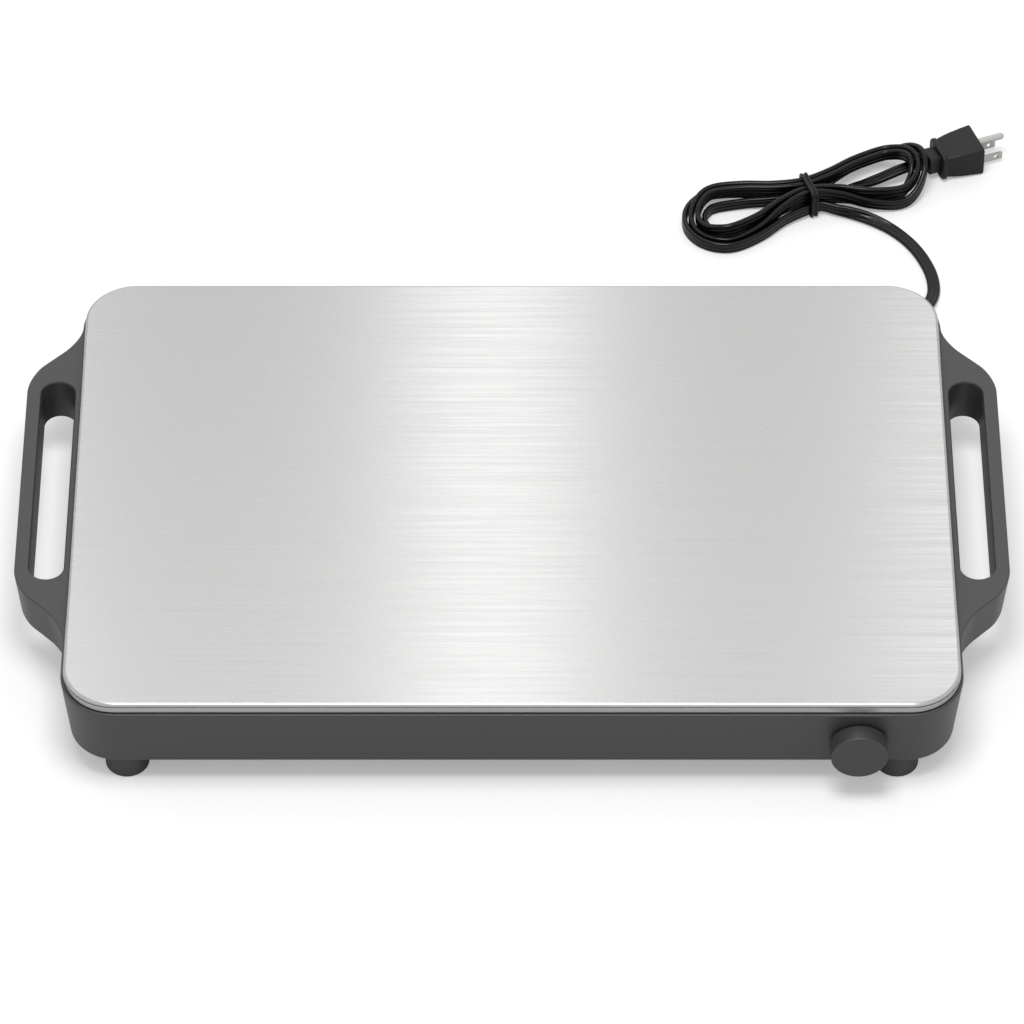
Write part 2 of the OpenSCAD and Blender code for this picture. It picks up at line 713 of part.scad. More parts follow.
module earth_screw() placed() color("goldenrod") translate([earth_at[0], earth_at[1], 0]) {
    translate([0, 0, flange_z - 4.2]) cylinder(d = 7.5, h = 4.2);
    translate([0, 0, flange_z]) cylinder(d = 4, h = reflector_t + 3);
}

module cord_tail() placed() color("black") for (i = [-1:1])
    round_lead([[exit_x + i * 3, shank_y, exit_z], [exit_x + i * 3, shank_y - 6, exit_z],
        [(exit_x + way_x[i + 1]) / 2 + i * 2, block_at[1] + 34, way_z + 1],
        [way_x[i + 1] + 1, block_at[1] + 18, way_z], [way_x[i + 1], block_at[1] + 12, way_z],
        [way_x[i + 1], block_at[1] + 4, way_z]], 2.2);

// The nut that holds the strain relief from inside
module cord_clamp() placed() color("black") difference() {
    translate([exit_x, exit_inner_y - 5, exit_z]) rotate([-90, 0, 0])
        cylinder(d = 19, h = 5, $fn = 6);
    along_y(exit_x, exit_inner_y - 6, rear_y, exit_z, relief_d);
}

// ---- Feet and screws under the base

module foot(p) {
    translate([p[0], p[1], 0]) difference() {
        cylinder(d = foot_d, h = foot_h);
        translate([0, 0, -cut]) cylinder(d = foot_washer_d + 1, h = 6 + cut);
        translate([0, 0, -cut]) cylinder(d = foot_screw_d + 0.4, h = foot_h + 2 * cut);
    }
}

module foot_front_left() placed() color("#303030") foot(foot_at[0]);
module foot_front_right() placed() color("#303030") foot(foot_at[1]);
module foot_rear_left() placed() color("#303030") foot(foot_at[2]);
module foot_rear_right() placed() color("#303030") foot(foot_at[3]);

module foot_screws() placed() color("silver") for (p = foot_at) translate([p[0], p[1], 0]) {
    translate([0, 0, 3.2]) cylinder(d = foot_washer_d - 2, h = 2.8);
    translate([0, 0, 6]) cylinder(d = foot_screw_d, h = base_z - 6 + base_t + screw_bite);
}

module base_screws() placed() color("silver") for (p = base_screw_at)
    translate([p[0], p[1], base_z]) {
        translate([0, 0, -2]) cylinder(d = 7.5, h = 2);
        cylinder(d = base_screw_d, h = base_t + screw_bite - 2);
    }

// ---- Cord

// Route of the free cord on the floor behind the tray, from the strain relief to the hank
shank_y = rear_y - wall - 13;
boot_end = [exit_x + 7.7, rear_y + 21.2, exit_z - 3];
boot_end_dir = [0.62, 0.75, -0.24];
// Place, heading and radius along the strain relief, which bends with the cord
relief_rings = [
    [[exit_x, shank_y, exit_z], [0, 1, 0], relief_d / 2],
    [[exit_x, rear_y, exit_z], [0, 1, 0], relief_d / 2],
    [[exit_x, rear_y, exit_z], [0, 1, 0], 8.5],
    [[exit_x, rear_y + 2.4, exit_z], [0, 1, 0], 8.5],
    [[exit_x, rear_y + 2.4, exit_z], [0, 1, 0], 6.6],
    [[exit_x + 0.9, rear_y + 7.6, exit_z], [0.23, 0.97, -0.06], 6.2],
    [[exit_x + 3.5, rear_y + 14.8, exit_z - 1], [0.44, 0.88, -0.16], 5.7],
    [boot_end, boot_end_dir, 5.2]];
// Points of the route, counted from the exit at the rear wall, with their heights above the floor
route_from_exit = [[14, 27, 24], [21.5, 31, 20.6], [29.5, 34, 17.2], [37.5, 37, 13.8],
    [46, 41, 10.4], [55, 47, 6.8], [62, 55, 4.2], [66, 65, 2.6], [67.2, 75, 2.1], [66, 87, 2.1],
    [62.5, 99, 2.1], [57.2, 111, 2.1], [49.8, 122.5, 2.1], [40, 132.5, 2.8], [30, 139.3, 3.8],
    [20, 144, 4.8], [10.2, 147.2, 5.6], [0.8, 149.5, 6.4]];
route = concat([boot_end], [for (p = route_from_exit) [exit_x + p[0], rear_y + p[1], p[2]]]);
route_twist = [90, 90, 90, 90, 90, 90, 90, 90, 90, 90, 90, 90, 90, 88, 80, 62, 40, 18, 4, 0];
flat_twist = 90;

// The hank lies along a line turned from the tray's width, and its loops are counted in turns
// from the front of its waist: left end, back, right end, front
hank_at = [exit_x - 20.5, rear_y + 159.7];
hank_yaw = 19;
rings_a_turn = 24;
half_turn = rings_a_turn / 2;
hank_rings = 7 * half_turn;
hank_start_u = 9;
layer_h = cord_w + 0.6;
waist_lift = tie_t + 0.2;
floor_gap = 0.2;
// Layer of the cord at each eighth of a turn, where 0 lies on the floor. At the waist the
// strands lie in two layers, and at the right end they climb over the cord's last stretch.
hank_layers = [0, 0, 0, 0, 0, 0, 1.95, 0.1, 1, 0.1, 0, 1, 1, 1, 1.7, 1,
    1, 1, 0.4, 1, 1, 1, 1.6, 0, 0, 0, 0, 0, 0];
// Column of the cord each time that it passes the waist, in steps from the middle line
hank_columns = [2.5, 1.5, 1.5, 1.5, 0.5, 0.5, 0.5, 0.5];

function waist_at(i) = hank_columns[floor(i / half_turn + 0.5)] * hank_waist_step;
function layer_at(i) = let (s = i / 3, k = floor(s))
    k >= len(hank_layers) - 1 ? hank_layers[len(hank_layers) - 1] :
    hank_layers[k] + (hank_layers[k + 1] - hank_layers[k]) * smooth(s - k);
function hank_height(layer, u) =
    floor_gap + cord_w / 2 + layer * layer_h + waist_lift * (1 - smooth(abs(u) / 60));

// Place of ring i in the hank's own plane
function hank_uv(i) =
    let (
        k = i % rings_a_turn,
        left = k <= half_turn,
        r = (left ? hank_left_r : hank_right_r) - floor(i / rings_a_turn) * hank_step,
        end_u = left ? -(hank_half_l - hank_left_r) : hank_half_l - hank_right_r,
        waist = waist_at(i))
    k <= 3 ? [end_u * k / 3, -(waist + (r - waist) * smooth(k / 3))] :
    k < 9 ? [end_u - r * sin((k - 3) * 30), -r * cos((k - 3) * 30)] :
    k <= 12 ? [end_u * (12 - k) / 3, waist + (r - waist) * smooth((12 - k) / 3)] :
    k <= 15 ? [end_u * (k - 12) / 3, waist + (r - waist) * smooth((k - 12) / 3)] :
    k < 21 ? [end_u + r * sin((k - 15) * 30), r * cos((k - 15) * 30)] :
    [end_u * (24 - k) / 3, -(waist + (r - waist) * smooth((24 - k) / 3))];

function on_floor(u, v, z) =
    [hank_at[0] + u * cos(hank_yaw) - v * sin(hank_yaw),
     hank_at[1] + u * sin(hank_yaw) + v * cos(hank_yaw), z];
function hank_point(i) = let (q = hank_uv(i)) on_floor(q[0], q[1], hank_height(layer_at(i), q[0]));

// The last stretch runs straight along the hank, under the raised right end, into the plug
plug_u = 86;
plug_v = 2.5;
plug_yaw = 20.5;
plug_axis_z = plug_face_h / 2;
exit_v = waist_at(hank_rings);
plug_run_u = [14, 28, 42, 54, 64, 72, 80, plug_u];
plug_run = [for (u = plug_run_u)
    on_floor(u, exit_v + (plug_v - exit_v) * smooth(u / plug_u),
        hank_height(0, u) + (plug_axis_z - floor_gap - cord_w / 2) * smooth((u - 40) / 46))];
plug_twist = [for (u = plug_run_u) flat_twist * smooth((u - 8) / 50)];

hank_dir = [cos(hank_yaw), sin(hank_yaw), 0];
plug_dir = [cos(plug_yaw), sin(plug_yaw), 0];
hank_start = on_floor(hank_start_u, -waist_at(0), hank_height(0, 0));
hank_points = concat([hank_start], [for (i = [0:hank_rings]) hank_point(i)], plug_run);
hank_twists = concat([for (i = [0:hank_rings + 1]) 0], plug_twist);
hank_dirs = [for (i = [0:len(hank_points) - 1])
    i == 0 ? -hank_dir : i == len(hank_points) - 1 ? plug_dir : direction(hank_points, i)];

lead_points = concat(route, [hank_start]);

// Least distance between strands that run beside or over each other, from their middles and
// from how far each section reaches sideways and upwards at its twist
function side_reach(a) = cord_t / 2 * cos(a) + cord_w / 2 * sin(a);
function up_reach(a) = cord_w / 2 * cos(a) + cord_t / 2 * sin(a);
strand_gap = min([for (i = [0:len(hank_points) - 10], j = [i + 9:len(hank_points) - 1])
    let (d = hank_points[i] - hank_points[j])
    max(norm([d[0], d[1]]) - side_reach(hank_twists[i]) - side_reach(hank_twists[j]),
        abs(d[2]) - up_reach(hank_twists[i]) - up_reach(hank_twists[j]))]);
function path_length(v, i = 1) = i >= len(v) ? 0 : norm(v[i] - v[i - 1]) + path_length(v, i + 1);
echo(least_gap_in_hank = strand_gap, hank_length = path_length(hank_points),
    lead_length = path_length(lead_points));

module strain_relief() placed() color("black")
    sweep([for (r = relief_rings) r[0]], [for (r = relief_rings) round_section(2 * r[2], 16)],
        [for (r = relief_rings) 0], [for (r = relief_rings) unit(r[1])]);

module cord_lead() placed() color("black")
    sweep(lead_points, [for (p = lead_points) flat_section_8()], route_twist,
        [for (i = [0:len(lead_points) - 1])
            i == 0 ? unit(boot_end_dir) :
            i == len(lead_points) - 1 ? -hank_dir : direction(lead_points, i)]);

module cord_hank() placed() color("black")
    sweep(hank_points, [for (p = hank_points) flat_section(cord_t / 3)], hank_twists, hank_dirs);

tie_u = 2;
tie_low = 0.1;
tie_gap = 0.9;
// The tie sits a little to the rear, where the strands spread more
tie_shift = 0.45;
tie_inner_r = 1.6;

module cord_tie() placed() color("black") translate(on_floor(tie_u, 0, 0))
    rotate([90, 0, 90 + hank_yaw]) translate([0, 0, -tie_w / 2]) linear_extrude(tie_w) {
        w = (hank_columns[0] + hank_columns[1]) / 2 * hank_waist_step + cord_t / 2 + tie_gap;
        mid_v = (hank_columns[1] - hank_columns[0]) / 2 * hank_waist_step + tie_shift;
        top = hank_height(1, 0) + cord_w / 2 + 0.4;
        low = tie_low + tie_t;
        mid = (low + top) / 2;
        translate([mid_v, mid]) difference() {
            rounded_rect(w + tie_t, (top - low) / 2 + tie_t, tie_inner_r + tie_t);
            rounded_rect(w, (top - low) / 2, tie_inner_r);
        }
    }

// ---- Plug

collar_l = 4;
collar_w = 26;
collar_h = 20.5;
shoulder_w = 23.5;
shoulder_h = 18;
neck_w = 15.5;
neck_h = 15;
ring_d = 11;
ring_growth = 0.8;
groove_d = 9.4;
rings = 3;
collar_x = plug_rings_l + plug_neck_l;
body_x = collar_x + collar_l;
face_x = body_x + plug_body_l;

module in_plug_frame() {
    p = on_floor(plug_u, plug_v, plug_axis_z);
    placed() translate(p) rotate([0, 0, plug_yaw]) rotate([90, 0, 90]) children();
}

module plug_slice(x, w, h, r) {
    translate([0, 0, x]) linear_extrude(slice) rounded_rect(w / 2, h / 2, r);
}

module plug_body() color("black") in_plug_frame() {
    pitch = plug_rings_l / rings;
    cylinder(d = groove_d, h = collar_x + collar_l);
    for (i = [0:rings - 1]) translate([0, 0, i * pitch + 0.3])
        cylinder(d = ring_d + i * ring_growth, h = pitch * 0.6);
    translate([0, 0, plug_rings_l]) linear_extrude(plug_neck_l + slice)
        rounded_rect(neck_w / 2, neck_h / 2, 3.5);
    translate([0, 0, collar_x]) linear_extrude(collar_l)
        rounded_rect(collar_w / 2, collar_h / 2, 5);
    hull() {
        plug_slice(body_x - slice, shoulder_w, shoulder_h, 4);
        plug_slice(body_x + plug_body_l * 0.6, plug_face_w - 2, plug_face_h - 1.6, 3.5);
        plug_slice(face_x - 1.2, plug_face_w, plug_face_h, 3);
        plug_slice(face_x - slice, plug_face_w - 1, plug_face_h - 1, 2.5);
    }
}

blade_gap = 12.7;
blade_w = 6.35;
blade_t = 1.5;
earth_up = 6.5;
blade_down = 5.4;

module plug_blades() color("silver") in_plug_frame() for (s = [-1, 1]) difference() {
    translate([s * blade_gap / 2 - blade_t / 2, -blade_down - blade_w / 2, face_x])
        cube([blade_t, blade_w, blade_l]);
    translate([s * blade_gap / 2 - cut * 2, -blade_down, face_x + blade_l - 5]) rotate([0, 90, 0])
        cylinder(d = 3, h = 4 * cut);
}

module plug_earth_pin() color("silver") in_plug_frame() translate([0, earth_up, face_x]) {
    cylinder(d = 4.8, h = earth_l - 2.4);
    translate([0, 0, earth_l - 2.4]) sphere(d = 4.8);
}

top_plate();
rim_seal();
housing();
base_cover();
heat_spreader();
heating_element();
element_beads();
element_pins();
clamp_bars();
clamp_screws();
plate_studs();
plate_nuts();
reflector_pan();
insulation_mat();
control_knob();
thermostat_spindle();
knob_spring_clip();
thermostat_body();
thermostat_bush();
thermostat_bracket();
thermostat_screws();
thermal_fuse();
fuse_clip();
terminal_block();
terminal_screws();
fuse_lead();
switched_lead();
live_lead();
neutral_lead();
earth_lead();
earth_screw();
cord_tail();
cord_clamp();
foot_front_left();
foot_front_right();
foot_rear_left();
foot_rear_right();
foot_screws();
base_screws();
strain_relief();
cord_lead();
cord_hank();
cord_tie();
plug_body();
plug_blades();
plug_earth_pin();
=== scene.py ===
"""Looks of an electric food warmer tray: camera, cord, shaped pieces, finishes and light."""

import math

import bmesh
import bpy
from mathutils import Matrix, Vector


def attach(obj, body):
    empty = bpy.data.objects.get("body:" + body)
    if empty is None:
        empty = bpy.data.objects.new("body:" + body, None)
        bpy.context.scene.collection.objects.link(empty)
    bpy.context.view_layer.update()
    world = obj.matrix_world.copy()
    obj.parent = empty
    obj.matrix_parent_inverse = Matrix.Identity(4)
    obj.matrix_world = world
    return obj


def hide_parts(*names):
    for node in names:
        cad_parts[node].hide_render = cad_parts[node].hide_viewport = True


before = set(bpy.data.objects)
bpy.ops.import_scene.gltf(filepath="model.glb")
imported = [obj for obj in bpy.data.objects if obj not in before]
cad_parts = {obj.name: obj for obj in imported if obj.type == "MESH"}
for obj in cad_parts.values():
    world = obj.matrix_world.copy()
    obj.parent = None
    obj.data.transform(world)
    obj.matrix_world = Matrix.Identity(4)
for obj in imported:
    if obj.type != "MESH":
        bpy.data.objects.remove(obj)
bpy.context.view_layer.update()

# ---- Sizes, in metres, as in the part's source

ORIGIN_SHIFT = 0.00615  # the plate's middle lies this far behind the origin
BASE_Z = 0.0185
RIM_Z = 0.068
LIP_Z = 0.069
TOP_Z = 0.076
SHEET = 0.001
PLATE_HALF = (0.290, 0.194)
PLATE_CORNER = 0.034
RIM_HALF = (0.292, 0.196)
RIM_CORNER = 0.036
WALL_LEAN = 0.0048 / 0.0495  # how far the wall leans in for each metre down
HANDLE_Y = 0.0165
HANDLE_H = 0.032
KNOB_X = 0.2237
KNOB_Z = 0.0406
KNOB_R = 0.0189
KNOB_NECK_R = 0.0176
FOOT_R = 0.0143
FOOT_AT = [(sx * 0.2506, sy * 0.1742) for sy in (-1, 1) for sx in (-1, 1)]
CORD_W = 0.009
CORD_T = 0.0036


def spot(x, y, z):
    """A point given from the middle of the plate, in the frame's own place."""
    return Vector((x, y + ORIGIN_SHIFT, z))


# ---- Camera

LENS_RATIO = 6383 / 1024  # focal length over the picture's width
TILT = math.radians(43.95)
camera_data = bpy.data.cameras.new("photo_camera")
camera_data.sensor_width = 36
camera_data.lens = 36 * LENS_RATIO
camera_data.clip_end = 60
camera = bpy.data.objects.new("photo_camera", camera_data)
camera.location = spot(0, -2.9465, 3.1098)
camera.rotation_euler = (TILT, 0, 0)
bpy.context.scene.collection.objects.link(camera)
bpy.context.scene.camera = camera
bpy.context.scene.view_settings.view_transform = "Standard"

# ---- Handling of pieces


def take(piece):
    bpy.ops.object.select_all(action="DESELECT")
    piece.select_set(True)
    bpy.context.view_layer.objects.active = piece


def named(name):
    piece = bpy.context.object
    piece.name = name
    piece.data.name = name
    return piece


def settle(piece):
    take(piece)
    bpy.ops.object.transform_apply(location=True, rotation=True, scale=True)


def open_up(piece, mode):
    take(piece)
    bpy.ops.object.mode_set(mode="EDIT")
    bpy.ops.mesh.select_mode(type=mode)
    bpy.ops.mesh.select_all(action="DESELECT")


def close_up():
    bpy.ops.object.mode_set(mode="OBJECT")


def pick(piece, kind, test):
    """Selects the vertices, edges or faces that pass the test, and nothing else."""
    bpy.ops.mesh.select_mode(type=kind)
    bpy.ops.mesh.select_all(action="DESELECT")
    mesh = bmesh.from_edit_mesh(piece.data)
    items = {"VERT": mesh.verts, "EDGE": mesh.edges, "FACE": mesh.faces}[kind]
    for item in items:
        if test(item):
            item.select_set(True)
    bmesh.update_edit_mesh(piece.data)


def level(z, slack=0.00005):
    """A test for an edge or face that lies flat at height z."""
    return lambda item: all(abs(v.co.z - z) < slack for v in item.verts)


def push(x=0.0, y=0.0, z=0.0):
    bpy.ops.mesh.extrude_region_move(TRANSFORM_OT_translate={"value": (x, y, z)})


def step(inwards, along):
    """Insets the selected face by the first distance and moves it along its normal."""
    bpy.ops.mesh.inset(thickness=inwards, depth=along, use_even_offset=True)


def widen(by, half, centre):
    """Scales the selection so that an outline of that half size grows all round."""
    bpy.ops.transform.resize(
        value=((half[0] + by) / half[0], (half[1] + by) / half[1], 1),
        center_override=centre,
    )


def outward(piece):
    open_up(piece, "FACE")
    bpy.ops.mesh.select_all(action="SELECT")
    bpy.ops.mesh.remove_doubles(threshold=0.000002)
    bpy.ops.mesh.normals_make_consistent(inside=False)
    close_up()


def rounded_sheet(name, half, corner, centre, steps=12):
    """A flat face with round corners, facing up, left in edit mode and selected."""
    bpy.ops.object.select_all(action="DESELECT")
    bpy.ops.mesh.primitive_plane_add(size=1, location=centre)
    piece = named(name)
    piece.scale = (2 * half[0], 2 * half[1], 1)
    settle(piece)
    open_up(piece, "VERT")
    bpy.ops.mesh.select_all(action="SELECT")
    bpy.ops.mesh.bevel(offset=corner, segments=steps, affect="VERTICES")
    pick(piece, "FACE", lambda face: True)
    return piece


def round_sheet(name, radius, centre, turn=(0, 0, 0), vertices=64):
    """A flat disc facing up before it is turned, left in edit mode and selected."""
    bpy.ops.object.select_all(action="DESELECT")
    bpy.ops.mesh.primitive_circle_add(
        vertices=vertices, radius=radius, fill_type="NGON", location=centre, rotation=turn
    )
    piece = named(name)
    settle(piece)
    open_up(piece, "FACE")
    pick(piece, "FACE", lambda face: True)
    return piece


def cap(piece, test=lambda edge: edge.is_boundary):
    pick(piece, "EDGE", test)
    bpy.ops.mesh.edge_face_add()
    bpy.ops.mesh.select_mode(type="FACE")


def lid(piece):
    """Closes the open top edge with a face that looks up, and selects it."""
    edges = bmesh.from_edit_mesh(piece.data).edges
    top = max(v.co.z for e in edges if e.is_boundary for v in e.verts)
    cap(piece)
    bpy.ops.mesh.select_all(action="SELECT")
    bpy.ops.mesh.normals_make_consistent(inside=False)
    pick(piece, "FACE", lambda f: level(top)(f) and len(f.verts) > 8)


def combine(piece, other, how):
    """Cuts, joins or intersects the piece with the other one, which is used up."""
    take(piece)
    change = piece.modifiers.new("combine", "BOOLEAN")
    change.operation = how
    change.solver = "EXACT"
    change.object = other
    bpy.ops.object.modifier_apply(modifier=change.name)
    bpy.data.objects.remove(other)


def soften(piece, width, steps=3, angle=35):
    take(piece)
    change = piece.modifiers.new("soften", "BEVEL")
    change.width = width
    change.segments = steps
    change.limit_method = "ANGLE"
    change.angle_limit = math.radians(angle)
    change.use_clamp_overlap = True
    bpy.ops.object.modifier_apply(modifier=change.name)


def smooth(piece, angle=35):
    """Smooth shading that keeps flat faces flat."""
    take(piece)
    bpy.ops.object.shade_smooth_by_angle(angle=math.radians(angle))
    change = piece.modifiers.new("flat_faces", "WEIGHTED_NORMAL")
    change.keep_sharp = True
    change.weight = 90
    bpy.ops.object.modifier_apply(modifier=change.name)


def dress(piece, finish, body, slot, *nodes):
    """Gives a piece its finish and its body, and hides the CAD nodes that it stands for."""
    piece.data.materials.clear()
    piece.data.materials.append(finish)
    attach(piece, body)
    if nodes:
        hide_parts(*nodes)


# ---- Finishes


def set_inputs(node, values):
    for key, value in values.items():
        node.inputs[key].default_value = value


def add_node(tree, kind, settings=None, inputs=None):
    node = tree.nodes.new(kind)
    for key, value in (settings or {}).items():
        setattr(node, key, value)
    set_inputs(node, inputs or {})
    return node


def new_group(name, inputs, outputs):
    tree = bpy.data.node_groups.new(name, "ShaderNodeTree")
    for label, kind, value in inputs:
        socket = tree.interface.new_socket(name=label, in_out="INPUT", socket_type=kind)
        if value is not None:
            socket.default_value = value
    for label, kind in outputs:
        tree.interface.new_socket(name=label, in_out="OUTPUT", socket_type=kind)
    return tree, tree.nodes.new("NodeGroupInput"), tree.nodes.new("NodeGroupOutput")


def spread(tree, source, low, high):
    """Maps a value from 0..1 to low..high."""
    node = add_node(tree, "ShaderNodeMapRange")
    tree.links.new(source, node.inputs["Value"])
    for key, value in (("To Min", low), ("To Max", high)):
        if hasattr(value, "is_linked"):
            tree.links.new(value, node.inputs[key])
        else:
            node.inputs[key].default_value = value
    return node.outputs["Result"]


def arithmetic(tree, how, first, second):
    node = add_node(tree, "ShaderNodeMath", {"operation": how})
    for socket, value in zip(node.inputs, (first, second)):
        if hasattr(value, "is_linked"):
            tree.links.new(value, socket)
        else:
            socket.default_value = value
    return node.outputs[0]


def tinted(tree, colour, factor):
    """The colour made lighter or darker by the factor."""
    node = add_node(tree, "ShaderNodeMix", {"data_type": "RGBA", "blend_type": "MULTIPLY"})
    node.inputs["Factor"].default_value = 1
    tree.links.new(colour, node.inputs["A"])
    tree.links.new(factor, node.inputs["B"])
    return node.outputs["Result"]


def noise(tree, vector, scale, detail=3.0, roughness=0.55):
    node = add_node(
        tree, "ShaderNodeTexNoise", None, {"Scale": scale, "Detail": detail, "Roughness": roughness}
    )
    tree.links.new(vector, node.inputs["Vector"])
    return node.outputs["Fac"]


def stretched(tree, vector, scale):
    node = add_node(tree, "ShaderNodeMapping", None, {"Scale": scale})
    tree.links.new(vector, node.inputs["Vector"])
    return node.outputs["Vector"]


# Moulded grain: a fine even speckle with slow, faint patches
moulded, moulded_in, moulded_out = new_group(
    "moulded_grain",
    [
        ("Vector", "NodeSocketVector", None),
        ("Colour", "NodeSocketColor", (0.5, 0.5, 0.5, 1)),
        ("Patch", "NodeSocketFloat", 0.05),
        ("Roughness", "NodeSocketFloat", 0.5),
    ],
    [
        ("Colour", "NodeSocketColor"),
        ("Roughness", "NodeSocketFloat"),
        ("Height", "NodeSocketFloat"),
    ],
)
speckle = noise(moulded, moulded_in.outputs["Vector"], 2600.0, 2.0)
patches = noise(moulded, moulded_in.outputs["Vector"], 14.0, 3.0)
patch_low = arithmetic(moulded, "SUBTRACT", 1.0, moulded_in.outputs["Patch"])
patch_high = arithmetic(moulded, "ADD", 1.0, moulded_in.outputs["Patch"])
moulded.links.new(
    tinted(
        moulded,
        moulded_in.outputs["Colour"],
        arithmetic(
            moulded,
            "MULTIPLY",
            spread(moulded, patches, patch_low, patch_high),
            spread(moulded, speckle, 0.94, 1.06),
        ),
    ),
    moulded_out.inputs["Colour"],
)
moulded.links.new(
    arithmetic(
        moulded,
        "ADD",
        moulded_in.outputs["Roughness"],
        spread(moulded, patches, -0.04, 0.04),
    ),
    moulded_out.inputs["Roughness"],
)
moulded.links.new(speckle, moulded_out.inputs["Height"])

# Brushing: long fine streaks along X, of several lengths and widths
brushed, brushed_in, brushed_out = new_group(
    "brushing",
    [
        ("Vector", "NodeSocketVector", None),
        ("Colour", "NodeSocketColor", (0.6, 0.6, 0.6, 1)),
        ("Depth", "NodeSocketFloat", 0.1),
        ("Roughness", "NodeSocketFloat", 0.3),
    ],
    [
        ("Colour", "NodeSocketColor"),
        ("Roughness", "NodeSocketFloat"),
        ("Height", "NodeSocketFloat"),
    ],
)
fine = noise(brushed, stretched(brushed, brushed_in.outputs["Vector"], (16, 1300, 1300)), 1.0, 2.0)
broad = noise(brushed, stretched(brushed, brushed_in.outputs["Vector"], (5, 330, 330)), 1.0, 3.0)
streaks = arithmetic(
    brushed,
    "ADD",
    arithmetic(brushed, "MULTIPLY", fine, 0.45),
    arithmetic(brushed, "MULTIPLY", broad, 0.55),
)
sharp_streaks = add_node(brushed, "ShaderNodeMapRange", None, {"From Min": 0.3, "From Max": 0.7})
brushed.links.new(streaks, sharp_streaks.inputs["Value"])
brushed.links.new(
    tinted(
        brushed,
        brushed_in.outputs["Colour"],
        spread(
            brushed,
            sharp_streaks.outputs["Result"],
            arithmetic(brushed, "SUBTRACT", 1.0, brushed_in.outputs["Depth"]),
            arithmetic(brushed, "ADD", 1.0, brushed_in.outputs["Depth"]),
        ),
    ),
    brushed_out.inputs["Colour"],
)
brushed.links.new(
    arithmetic(
        brushed,
        "ADD",
        brushed_in.outputs["Roughness"],
        spread(brushed, sharp_streaks.outputs["Result"], 0.05, -0.05),
    ),
    brushed_out.inputs["Roughness"],
)
brushed.links.new(streaks, brushed_out.inputs["Height"])


def finish(name, group, colour, roughness, effect, bump, shader_inputs=None):
    """A material with its own shader, fed by one of the groups above."""
    material = bpy.data.materials.new(name)
    material.use_nodes = True
    tree = material.node_tree
    shader = tree.nodes["Principled BSDF"]
    set_inputs(shader, shader_inputs or {})
    place = tree.nodes.new("ShaderNodeTexCoord")
    detail = add_node(tree, "ShaderNodeGroup", {"node_tree": group})
    tree.links.new(place.outputs["Object"], detail.inputs["Vector"])
    detail.inputs["Colour"].default_value = (*colour, 1)
    detail.inputs["Roughness"].default_value = roughness
    detail.inputs[2].default_value = effect
    relief = add_node(tree, "ShaderNodeBump", None, {"Strength": bump, "Distance": 0.0001})
    tree.links.new(detail.outputs["Colour"], shader.inputs["Base Color"])
    tree.links.new(detail.outputs["Roughness"], shader.inputs["Roughness"])
    tree.links.new(detail.outputs["Height"], relief.inputs["Height"])
    tree.links.new(relief.outputs["Normal"], shader.inputs["Normal"])
    return material


def plastic(name, colour, roughness, patch=0.04, bump=0.25, shine=0.5):
    return finish(name, moulded, colour, roughness, patch, bump, {"Specular IOR Level": shine})


def metal(name, colour, roughness, depth=0.05, bump=0.1, group=None, anisotropy=0.0):
    inputs = {"Metallic": 1.0, "Anisotropic": anisotropy}
    return finish(name, group or moulded, colour, roughness, depth, bump, inputs)


def stretch_shine(material, uv_name):
    """Stretches the highlights along the first direction of the piece's UV map."""
    tree = material.node_tree
    along = add_node(tree, "ShaderNodeTangent", {"direction_type": "UV_MAP", "uv_map": uv_name})
    tree.links.new(along.outputs["Tangent"], tree.nodes["Principled BSDF"].inputs["Tangent"])


charcoal = plastic("satin_charcoal_plastic", (0.049, 0.049, 0.048), 0.42)
knob_plastic = plastic("satin_knob_plastic", (0.042, 0.042, 0.041), 0.36)
foot_rubber = plastic("charcoal_foot_rubber", (0.047, 0.047, 0.046), 0.6)
cord_jacket = plastic("black_cord_jacket", (0.003, 0.003, 0.003), 0.2, 0.02, 0.05, 0.26)
tie_rubber = plastic("black_tie_rubber", (0.005, 0.005, 0.005), 0.38, 0.02, 0.15, 0.3)
plug_moulding = plastic("black_plug_moulding", (0.008, 0.008, 0.008), 0.42, 0.04, 0.35, 0.3)
seal_rubber = plastic("black_silicone_seal", (0.002, 0.002, 0.002), 0.7, 0.04, 0.25, 0.1)
plate_steel = metal("brushed_plate_steel", (0.463, 0.463, 0.459), 0.27, 0.10, 0.1, brushed, 0.85)
stretch_shine(plate_steel, "across_brushing")
bright_pins = metal("nickel_pins", (0.50, 0.49, 0.47), 0.25, 0.04, 0.15)
small_steel = metal("zinc_plated_steel", (0.52, 0.53, 0.55), 0.36, 0.08, 0.3)
sheet_aluminium = metal("aluminium_sheet", (0.72, 0.72, 0.73), 0.38, 0.04, 0.1, brushed)
turned_brass = metal("turned_brass", (0.62, 0.45, 0.18), 0.3, 0.05, 0.2)
dull_sheath = metal("dull_element_sheath", (0.2, 0.19, 0.18), 0.5, 0.12, 0.3)
base_paint = plastic("dark_base_paint", (0.035, 0.035, 0.036), 0.55, 0.06, 0.5)
white_ceramic = plastic("white_ceramic", (0.72, 0.69, 0.62), 0.35)
glass_fibre = plastic("glass_fibre_mat", (0.62, 0.57, 0.44), 0.95, 0.15, 1.0)
phenolic = plastic("brown_phenolic", (0.13, 0.06, 0.03), 0.4, 0.1, 0.3)
block_plastic = plastic("white_block_plastic", (0.66, 0.66, 0.62), 0.4)
red_wire = plastic("red_wire_cover", (0.36, 0.03, 0.02), 0.45)
white_wire = plastic("white_wire_cover", (0.66, 0.66, 0.64), 0.45)
green_wire = plastic("green_wire_cover", (0.05, 0.25, 0.07), 0.45)

